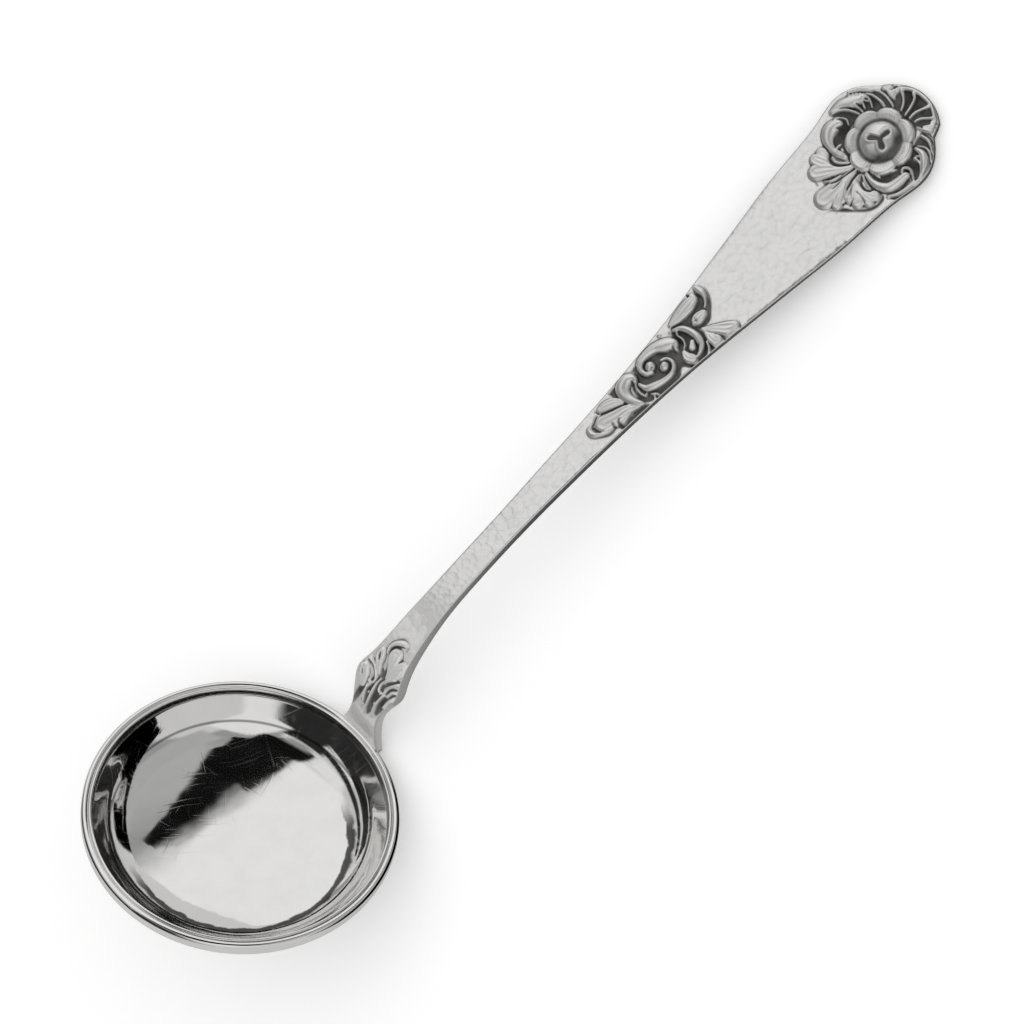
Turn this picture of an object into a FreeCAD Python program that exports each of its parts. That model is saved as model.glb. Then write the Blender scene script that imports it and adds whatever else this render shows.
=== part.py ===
"""A small cream ladle in silver: a shallow raised bowl with a wire along its rim, and a flat
handle soldered to the rim, with leaf and scroll ornament in relief.

Everything is modelled in the bowl's own frame, in millimetres: the rim's plane is z = 0, its
centre is the origin, and the handle leaves towards +X. At the end the ladle is tipped as it comes
to rest on a table, on the bowl's side and the end of the handle.

A place on the handle is given by its distance along the handle's face from the foot, and by how
far it lies to the left of the middle line, as seen from the foot.
"""

import FreeCAD, Part
import math
import os

from FreeCAD import Vector

# bowl and rim: the inside and the outside each have an upright collar, a sloping side, a rounded
# corner and a dished floor
RIM_RADIUS = 20.5
RIM_WIRE_WIDTH = 1.0
RIM_WIRE_TOP = 0.52
RIM_WIRE_BOTTOM = -1.5
LIP_INNER_RADIUS = 19.1
LIP_WALL = 0.45
LIP_HEIGHT = 0.27
SIDE_SLOPE = 38.0
COLLAR_END = -0.7
BOWL_DEPTH = 7.3
FLOOR_RADIUS = 48.0
CORNER_RADIUS = 7.3
OUTER_COLLAR_END = -1.05
OUTER_DEPTH = 8.0
OUTER_FLOOR_RADIUS = 48.7
OUTER_CORNER_RADIUS = 7.9

# side line of the handle's face, as X and Z, from the foot to where it runs straight
SIDE_LINE = [
    (19.95, 0.4),
    (20.15, 3.5),
    (20.75, 7.4),
    (22.35, 10.9),
    (25.2, 14.75),
    (29.0, 18.6),
    (34.0, 22.45),
    (42.0, 27.75),
    (50.0, 32.7),
]
FOOT_DIRECTION = (0.05, 1.0)
BLADE_SLOPE = 30.25

# neck and shank: distance along the side line, half width, thickness
NECK_SECTIONS = [
    (-0.6, 3.6, 1.0),
    (2.3, 2.7, 1.25),
    (5.0, 2.4, 1.5),
    (7.6, 2.95, 1.75),
    (10.2, 3.65, 1.9),
    (12.2, 3.2, 2.0),
    (14.8, 2.65, 2.0),
    (18.5, 2.3, 1.85),
    (24.0, 2.0, 1.55),
    (30.0, 1.92, 1.4),
    (38.0, 1.95, 1.32),
]
NECK_EDGE = 0.18

# blade, the straight part: distance and half width, then the shell edge of its end
BLADE_START_HALF_WIDTH = 2.2
BLADE_HALF_WIDTHS = [
    (54.0, 2.5),
    (62.0, 3.0),
    (70.0, 3.75),
    (78.0, 4.85),
    (86.0, 6.0),
    (93.0, 6.95),
    (99.0, 7.4),
    (102.0, 7.8),
    (105.6, 8.4),
    (108.0, 7.8),
    (109.8, 6.4),
    (110.7, 5.3),
]
SHELL_EDGE = [(112.5, 3.6), (113.6, 1.6)]
SHELL_TIP = (113.95, -0.45)
BLADE_START_THICKNESS = 1.25
BLADE_THIN_AT = 92.0
BLADE_THIN = 0.7
BLADE_END_THICKNESS = 0.9

# rosette at the end of the handle: bud with a three-lobed hollow, in a ring of petals
ROSE_CENTRE = (105.7, -0.4)
PETALS = 7
PETAL_RING = 2.95
PETAL_RADIUS = 1.6
PETAL_HEIGHT = 0.8
BUD_RADIUS = 2.45
BUD_HEIGHT = 1.35
BUD_HOLLOW_ENDS = [(105.1, 1.05), (105.4, -1.65), (107.35, -0.35)]
BUD_HOLLOW_RADIUS = 0.36

# ornament: a lobe is its stem and its tip, each as distance, offset and radius; a rib is three
# points of an arc and the radius; a boss is its place, its radius and its height
END_LOBES = [
    ((100.6, -0.4, 0.3), (95.2, -0.5, 0.95)),
    ((100.7, -0.9, 0.2), (96.1, -2.3, 0.6)),
    ((100.8, -1.3, 0.2), (98.1, -4.3, 0.75)),
    ((100.9, -1.7, 0.2), (99.9, -5.2, 0.75)),
    ((100.7, 0.0, 0.25), (97.2, 3.0, 0.9)),
    ((100.9, 0.6, 0.2), (98.6, 4.2, 0.6)),
    ((100.9, 0.9, 0.2), (99.7, 4.3, 0.55)),
    ((110.4, 2.6, 0.3), (111.4, 3.3, 0.7)),
    ((110.6, -3.4, 0.3), (111.5, -4.5, 0.75)),
]
END_RIBS = [
    ((100.9, 2.2), (101.1, 5.1), (103.4, 6.0), 0.72),
    ((104.7, 7.3), (107.0, 6.4), (108.3, 4.9), 0.6),
    ((109.8, 5.6), (109.7, 4.0), (109.3, 2.6), 0.3),
    ((101.3, -3.1), (102.0, -6.1), (104.5, -6.5), 0.7),
    ((105.2, -8.0), (107.4, -7.2), (108.2, -5.6), 0.55),
    ((108.7, -7.7), (109.8, -6.2), (109.7, -4.2), 0.3),
    ((110.4, 0.4), (111.5, 1.0), (112.3, 2.6), 0.28),
    ((110.4, -0.45), (111.9, -0.2), (113.1, 0.5), 0.28),
    ((110.4, -1.15), (112.0, -1.4), (113.2, -2.0), 0.28),
    ((110.5, -2.1), (111.6, -2.7), (112.4, -3.6), 0.28),
]
SCROLL_LOBES = [
    ((58.7, -0.7, 0.5), (55.4, -0.2, 1.0)),
    ((58.3, 0.5, 0.3), (56.5, 1.5, 0.6)),
    ((70.6, 2.7, 0.3), (74.4, 2.8, 0.75)),
    ((72.8, -1.6, 0.3), (73.1, -3.3, 0.7)),
    ((73.4, -1.6, 0.3), (75.5, -3.6, 0.85)),
]
SCROLL_RIBS = [
    ((53.5, 0.7), (53.4, -0.3), (54.6, -1.4), 0.35),
    ((60.4, -1.6), (60.0, 1.2), (61.9, 1.5), 0.7),
    ((63.6, 0.4), (65.4, 2.3), (67.9, 1.4), 0.45),
    ((67.4, -0.6), (65.9, -2.0), (63.2, -0.9), 0.4),
    ((70.0, 1.6), (71.2, -0.3), (70.2, -1.9), 0.45),
    ((70.7, 2.0), (72.1, -0.7), (70.9, -2.9), 0.3),
    ((76.0, 3.7), (76.2, 2.5), (75.3, 1.3), 0.35),
]
SCROLL_BOSSES = [
    ((64.6, 0.65), 0.75, 0.6),
    ((66.1, -0.7), 0.7, 0.6),
    ((68.5, 0.7), 1.0, 0.6),
    ((69.2, -2.5), 1.0, 0.6),
    ((73.6, 0.5), 1.05, 0.6),
]
BEND_LOBES = [
    ((11.6, -0.9, 0.3), (14.4, -1.9, 0.75)),
    ((12.2, -0.4, 0.3), (14.9, 0.0, 0.85)),
    ((11.3, 0.3, 0.3), (13.7, 1.45, 0.6)),
    ((8.4, 1.6, 0.3), (10.8, 2.4, 0.65)),
    ((5.2, 0.0, 0.15), (9.6, 0.0, 0.3)),
    ((5.4, -1.2, 0.15), (9.4, -1.6, 0.3)),
]
BEND_RIBS = [
    ((15.0, 1.0), (16.5, 0.5), (17.2, -0.7), 0.32),
    ((8.8, -2.6), (10.2, -2.9), (11.0, -3.4), 0.22),
    ((9.3, -2.0), (10.9, -2.3), (11.7, -3.1), 0.22),
    ((9.8, -1.5), (11.5, -1.9), (12.4, -2.8), 0.22),
    ((9.9, 1.2), (11.2, 1.2), (12.4, 2.3), 0.22),
]
ORNAMENT_ROOT = 0.35
ORNAMENT_MARGIN = 0.15


def side_line():
    """The curved stretch of the handle's face, as a curve in the XZ plane."""
    slope = math.radians(BLADE_SLOPE)
    curve = Part.BSplineCurve()
    curve.interpolate(
        Points=[Vector(x, 0, z) for x, z in SIDE_LINE],
        InitialTangent=Vector(FOOT_DIRECTION[0], 0, FOOT_DIRECTION[1]).normalize(),
        FinalTangent=Vector(math.cos(slope), 0, math.sin(slope)),
    )
    return curve


SIDE = side_line()
BLADE_AT = SIDE.length()


def frame_at(distance):
    """Point of the side line and the direction along it, at a distance from the foot."""
    u = SIDE.FirstParameter
    if distance >= BLADE_AT:
        u = SIDE.LastParameter
    elif distance > 0:
        u = SIDE.parameterAtDistance(distance, SIDE.FirstParameter)
    along = SIDE.tangent(u)[0]
    beyond = min(distance, 0) + max(distance - BLADE_AT, 0)
    return SIDE.value(u) + along * beyond, along


def on_handle(distance, across, height=0.0):
    """A point of the handle's face, or over it by the height."""
    point, along = frame_at(distance)
    out = Vector(-along.z, 0, along.x)
    return point + out * height + Vector(0, across, 0)


def corner_centre(lip_radius, collar_end, depth, floor, corner):
    """Centre of the rounded corner that meets both the sloping side and the dished floor."""
    slope = math.radians(SIDE_SLOPE)
    down = Vector(-math.sin(slope), 0, -math.cos(slope))
    inward = Vector(-math.cos(slope), 0, math.sin(slope))
    start = Vector(lip_radius, 0, collar_end) + inward * corner
    apart = start - Vector(0, 0, floor - depth)
    near = apart.dot(down)
    run = math.sqrt(near**2 - apart.dot(apart) + (floor - corner) ** 2) - near
    return start + down * run


def section_edges(lip_radius, collar_end, depth, floor, corner):
    """Half of the bowl's section: dished floor, rounded corner, sloping side, upright collar."""
    floor_centre = Vector(0, 0, floor - depth)
    centre = corner_centre(lip_radius, collar_end, depth, floor, corner)
    angle = math.atan2(centre.x, floor_centre.z - centre.z)
    end = math.pi / 2 - math.radians(SIDE_SLOPE)

    def at(middle, radius, turn):
        return middle + Vector(math.sin(turn), 0, -math.cos(turn)) * radius

    joint = at(centre, corner, angle)
    side_start = at(centre, corner, end)
    side_end = Vector(lip_radius, 0, collar_end)
    return [
        Part.Arc(Vector(0, 0, -depth), at(floor_centre, floor, angle / 2), joint).toShape(),
        Part.Arc(joint, at(centre, corner, (angle + end) / 2), side_start).toShape(),
        Part.makeLine(side_start, side_end),
        Part.makeLine(side_end, Vector(lip_radius, 0, LIP_HEIGHT)),
    ]


INNER_SECTION = (LIP_INNER_RADIUS, COLLAR_END, BOWL_DEPTH, FLOOR_RADIUS, CORNER_RADIUS)
OUTER_SECTION = (
    LIP_INNER_RADIUS + LIP_WALL,
    OUTER_COLLAR_END,
    OUTER_DEPTH,
    OUTER_FLOOR_RADIUS,
    OUTER_CORNER_RADIUS,
)


def make_bowl():
    """Sheet bowl, whose rounded lip shows as a fine bead inside the rim's wire."""
    inner, outer = LIP_INNER_RADIUS, LIP_INNER_RADIUS + LIP_WALL
    bead = Part.Arc(
        Vector(inner, 0, LIP_HEIGHT),
        Vector((inner + outer) / 2, 0, LIP_HEIGHT + LIP_WALL / 2),
        Vector(outer, 0, LIP_HEIGHT),
    )
    edges = section_edges(*INNER_SECTION) + section_edges(*OUTER_SECTION)
    edges.append(bead.toShape())
    edges.append(Part.makeLine(Vector(0, 0, -OUTER_DEPTH), Vector(0, 0, -BOWL_DEPTH)))
    face = Part.Face(Part.Wire(Part.sortEdges(edges)[0]))
    return face.revolve(Vector(0, 0, 0), Vector(0, 0, 1), 360)


def make_rim_wire(bowl):
    """Wire of long round-ended section, standing against the outside of the lip."""
    r = RIM_WIRE_WIDTH / 2
    middle, high, low = RIM_RADIUS - r, RIM_WIRE_TOP - r, RIM_WIRE_BOTTOM + r
    top = Part.Arc(
        Vector(middle + r, 0, high), Vector(middle, 0, high + r), Vector(middle - r, 0, high)
    )
    bottom = Part.Arc(
        Vector(middle - r, 0, low), Vector(middle, 0, low - r), Vector(middle + r, 0, low)
    )
    edges = [
        top.toShape(),
        Part.makeLine(Vector(middle - r, 0, high), Vector(middle - r, 0, low)),
        bottom.toShape(),
        Part.makeLine(Vector(middle + r, 0, low), Vector(middle + r, 0, high)),
    ]
    wire = Part.Face(Part.Wire(edges)).revolve(Vector(0, 0, 0), Vector(0, 0, 1), 360)
    return wire.cut(bowl).Solids[0]


def neck_section(distance, half_width, thickness):
    """Flat section with broken corners, square to the side line."""
    e = NECK_EDGE
    right = [
        (half_width - e, 0),
        (half_width, -e),
        (half_width, -thickness + e),
        (half_width - e, -thickness),
    ]
    left = [(-y, h) for y, h in reversed(right)]
    points = [on_handle(distance, y, h) for y, h in right + left]
    return Part.makePolygon(points + points[:1])


def make_neck():
    """Foot, bend and shank, up to where the handle runs straight."""
    sections = [neck_section(*row) for row in NECK_SECTIONS]
    sections.append(neck_section(BLADE_AT, BLADE_START_HALF_WIDTH, BLADE_START_THICKNESS))
    return Part.makeLoft(sections, True, False)


def through(points):
    """Smooth curve through points of the handle's face."""
    curve = Part.BSplineCurve()
    curve.interpolate([on_handle(*point) for point in points])
    return curve.toShape()


def slab(profile, reach):
    """Solid with a side profile, given as distances and heights, as wide as the reach each way."""
    points = [on_handle(s, -reach, h) for s, h in profile]
    return Part.Face(Part.makePolygon(points + points[:1])).extrude(Vector(0, 2 * reach, 0))


def make_blade():
    """The straight part: its side profile, cut to the outline that is seen from above."""
    tip, beyond = SHELL_TIP[0], SHELL_TIP[0] + 5
    profile = [
        (BLADE_AT, 0),
        (beyond, 0),
        (beyond, -BLADE_END_THICKNESS),
        (tip, -BLADE_END_THICKNESS),
        (BLADE_THIN_AT, -BLADE_THIN),
        (BLADE_AT, -BLADE_START_THICKNESS),
    ]
    left = [(BLADE_AT, BLADE_START_HALF_WIDTH)] + BLADE_HALF_WIDTHS
    right = [(s, -y) for s, y in left]
    shell = [left[-1]] + SHELL_EDGE + [SHELL_TIP]
    shell += [(s, 2 * SHELL_TIP[1] - y) for s, y in reversed(SHELL_EDGE)] + [right[-1]]
    start = Part.makeLine(on_handle(*right[0]), on_handle(*left[0]))
    outline = Part.Wire(Part.sortEdges([through(left), through(shell), through(right), start])[0])
    out = on_handle(tip, 0, 1) - on_handle(tip, 0)
    outline.translate(out * -5)
    return slab(profile, 15).common(Part.Face(outline).extrude(out * 10))


def boss(place, radius, height):
    """Low dome standing on the face."""
    ball = (radius**2 + height**2) / (2 * height)
    return Part.makeSphere(ball, on_handle(*place, height - ball))


def lobe(stem, tip, height=0.0):
    """Leaf lobe or groove: a rounded taper whose middle line lies in the face."""
    a, b = on_handle(*stem[:2], height), on_handle(*tip[:2], height)
    end = Part.makeSphere(tip[2], b)
    if stem[2] == tip[2]:
        return end.fuse(Part.makeCylinder(tip[2], (b - a).Length, a, b - a))
    return end.fuse(Part.makeCone(stem[2], tip[2], (b - a).Length, a, b - a))


def rib(start, middle, end, radius):
    """Round rib that runs in an arc through three points of the face, with rounded ends."""
    arc = Part.Arc(*(on_handle(*point) for point in (start, middle, end)))
    path = arc.toShape()
    across = path.tangentAt(path.FirstParameter)
    circle = Part.Wire(Part.makeCircle(radius, arc.StartPoint, across))
    tube = Part.Wire(path).makePipeShell([circle], True, True)
    return [tube, Part.makeSphere(radius, arc.StartPoint), Part.makeSphere(radius, arc.EndPoint)]


def ornament(lobes, ribs, bosses=()):
    """The separate raised shapes of one group."""
    solids = [lobe(*row) for row in lobes]
    for row in ribs:
        solids += rib(*row)
    return solids + [boss(*row) for row in bosses]


def rosette():
    """Bud and petals, each a dome."""
    s0, y0 = ROSE_CENTRE
    solids = [boss(ROSE_CENTRE, BUD_RADIUS, BUD_HEIGHT)]
    for i in range(PETALS):
        angle = math.pi + 2 * math.pi * i / PETALS
        place = (s0 + PETAL_RING * math.cos(angle), y0 + PETAL_RING * math.sin(angle))
        solids.append(boss(place, PETAL_RADIUS, PETAL_HEIGHT))
    return solids


def bud_hollow():
    """The three grooves that meet in the middle of the bud."""
    r = BUD_HOLLOW_RADIUS
    return [lobe((*ROSE_CENTRE, r), (s, y, r), BUD_HEIGHT) for s, y in BUD_HOLLOW_ENDS]


def rooted(solids):
    """The ornament of the blade, cut off inside the metal so that its back stays flat."""
    start, end = BLADE_AT + ORNAMENT_MARGIN, SHELL_TIP[0] - ORNAMENT_MARGIN
    room = slab([(start, -ORNAMENT_ROOT), (end, -ORNAMENT_ROOT), (end, 5), (start, 5)], 12)
    return [solid.common(room) for solid in solids]


def make_handle(bowl, rim_wire):
    """Neck, blade and ornament in one piece, with the foot cut to the rim that it stands on."""
    handle = make_neck().multiFuse([make_blade()])
    handle = handle.multiFuse(ornament(BEND_LOBES, BEND_RIBS))
    handle = handle.multiFuse(rooted(ornament(SCROLL_LOBES, SCROLL_RIBS, SCROLL_BOSSES)))
    handle = handle.multiFuse(rooted(rosette() + ornament(END_LOBES, END_RIBS)))
    handle = handle.cut(Part.makeCompound(bud_hollow()))
    return handle.cut(rim_wire).cut(bowl).Solids[0]


def laid_down(shapes):
    """Tip every piece to its rest, with the origin under the middle of the whole ladle."""
    centre = corner_centre(*OUTER_SECTION)
    end = on_handle(SHELL_TIP[0], 0, -BLADE_END_THICKNESS)
    dx, dz = end.x - centre.x, end.z - centre.z
    tilt = math.atan2(dz, dx) + math.asin(OUTER_CORNER_RADIUS / math.hypot(dx, dz))
    lowest = centre.z * math.cos(tilt) - centre.x * math.sin(tilt) - OUTER_CORNER_RADIUS
    for shape in shapes:
        shape.rotate(Vector(0, 0, 0), Vector(0, 1, 0), math.degrees(tilt))
    middle = Part.makeCompound(shapes).optimalBoundingBox(True, False).Center
    for shape in shapes:
        shape.translate(Vector(-middle.x, 0, -lowest))


def main():
    bowl = make_bowl()
    rim_wire = make_rim_wire(bowl)
    handle = make_handle(bowl, rim_wire)
    pieces = {"bowl": bowl, "rim_wire": rim_wire, "handle": handle}
    laid_down(list(pieces.values()))
    os.makedirs("parts", exist_ok=True)
    for name, shape in pieces.items():
        shape.exportStep("parts/" + name + ".step")


main()
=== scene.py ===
"""A small silver cream ladle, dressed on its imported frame: the polished bowl, the wire along its
rim, and the hammered handle with its carved leaves, scrolls and rose.

Shapes are worked out in the bowl's own frame, with the rim's plane at height 0 and the handle
leaving towards +X: the bowl and its rim in metres, the handle and its carving in millimetres.
At the end they are tipped as the ladle rests, in metres.
"""

import math

import bpy
import numpy as np
from mathutils import Matrix, Vector


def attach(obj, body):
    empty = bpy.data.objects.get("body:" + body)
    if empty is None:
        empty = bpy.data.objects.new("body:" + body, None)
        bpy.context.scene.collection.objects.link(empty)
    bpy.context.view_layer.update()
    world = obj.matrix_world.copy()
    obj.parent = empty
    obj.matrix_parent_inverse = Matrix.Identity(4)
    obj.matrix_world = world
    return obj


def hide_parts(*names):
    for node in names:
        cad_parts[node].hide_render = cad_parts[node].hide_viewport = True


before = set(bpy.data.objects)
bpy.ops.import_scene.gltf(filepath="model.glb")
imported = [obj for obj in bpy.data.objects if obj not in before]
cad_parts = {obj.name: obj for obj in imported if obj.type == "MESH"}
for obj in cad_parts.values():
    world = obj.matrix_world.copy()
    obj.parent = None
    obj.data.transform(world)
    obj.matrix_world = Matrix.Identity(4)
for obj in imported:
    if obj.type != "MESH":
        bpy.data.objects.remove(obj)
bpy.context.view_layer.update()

bl_info = {
    "name": "Cream ladle",
    "version": (1, 0, 0),
    "blender": (4, 5, 0),
    "location": "View3D > Sidebar > Ladle",
    "description": "Models and finishes a small silver cream ladle on its packed frame",
    "category": "Add Mesh",
}

# how the ladle lies: tipped about its crosswise axis, with its middle over the origin, in mm
REST_TILT = math.radians(37.3964)
REST_SHIFT = (-54.7817, 0.0, 13.6783)

# heights on the bowl's section, in metres: the foot of its upright collar inside and outside,
# the foot of the lip's bead and the bead's middle
COLLAR_INSIDE = -0.0007
COLLAR_OUTSIDE = -0.00105
BEAD_FOOT = -0.0003
BEAD_MIDDLE = 0.00027
# how much the outside is deeper at the floor, and rounder at the corner
FLOOR_SHEET = 0.0007
CORNER_SHEET = 0.0006
RIM_TOP = 0.00052
# into how many steps the turned pieces are divided, and how near two points are joined
BOWL_STEPS = 192
RIM_STEPS = 256
WELD = 0.000002

# side line of the handle's face, as X and Z in the bowl's frame, and its slope beyond
SIDE_LINE = [
    (19.95, 0.4), (20.15, 3.5), (20.75, 7.4), (22.35, 10.9), (25.2, 14.75),
    (29.0, 18.6), (34.0, 22.45), (42.0, 27.75), (50.0, 32.7),
]
FOOT_DIRECTION = (0.05, 1.0)
BLADE_SLOPE = math.radians(30.25)

# distance along the handle, half width and thickness
HANDLE_SECTIONS = [
    (-0.5, 3.55, 1.02), (2.3, 2.7, 1.25), (5.0, 2.4, 1.5), (7.6, 2.95, 1.75), (10.2, 3.65, 1.9),
    (12.2, 3.2, 2.0), (14.8, 2.65, 2.0), (18.5, 2.3, 1.85), (24.0, 2.0, 1.55), (30.0, 1.92, 1.4),
    (38.0, 1.95, 1.32), (46.448, 2.2, 1.25), (54.0, 2.5, 1.16), (62.0, 3.0, 1.06), (70.0, 3.75, 0.97),
    (78.0, 4.85, 0.87), (86.0, 6.0, 0.77), (93.0, 6.95, 0.71), (99.0, 7.4, 0.76), (102.0, 7.8, 0.79),
    (105.6, 8.4, 0.82), (108.0, 7.8, 0.85), (109.8, 6.4, 0.86), (110.7, 5.3, 0.87),
]
# the lopsided shell at the end: distance along the handle, left edge and right edge
SHELL_START = 110.7
HANDLE_END = 113.95
SHELL_EDGE = [(110.7, 5.3, -5.3), (112.5, 3.6, -4.5), (113.6, 1.6, -2.5), (113.93, 0.15, -1.05)]
SHELL_SHEET = (0.87, 0.9)
# radius of the handle's long edges, and how near to them the relief dies away
EDGE_ROUND = 0.16
EDGE_FADE = 0.25

# rows of the handle's mesh: from, to, step along it, and columns across its face, and then the
# number of rows that close its end
ROW_BANDS = [
    (-0.5, 3.6, 0.4, 24), (3.6, 18.4, 0.1, 74), (18.4, 52.2, 0.6, 24), (52.2, 77.4, 0.1, 90),
    (77.4, 93.6, 0.5, 24), (93.6, 112.4, 0.1, 166),
]
CLOSING_ROWS = 26

# step of the carving's maps, depth of the ground between the leaves, the deepest cut, and over
# what length the carving fades at the ends of its stretch
CARVING_STEP = 0.05
GROUND_DEPTH = 0.12
DEEPEST_CUT = 0.16
ZONE_FADE = 0.5

# carved stretches of the handle: from, to, and how far they reach to each side
BEND_ZONE = (3.6, 18.4, 5.0)
MIDDLE_ZONE = (52.2, 77.4, 5.4)
END_ZONE = (93.6, 113.95, 9.2)

# the rose at the end: its middle, petals and bud, and the middles of the bud's three hollow lobes
ROSE_AT = (105.65, -0.5)
ROSE_PETALS = 7
PETAL_REACH = 4.7
PETAL_NOTCH = 0.6
PETAL_RIDGES = 63
BUD_REACH = 2.75
BUD_TOP = 1.35
BUD_HEART = (105.85, -0.6)
BUD_HOLLOW = [(105.1, 0.5), (105.25, -1.6), (107.05, -0.7)]
HOLLOW_DEPTH = 0.35

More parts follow.
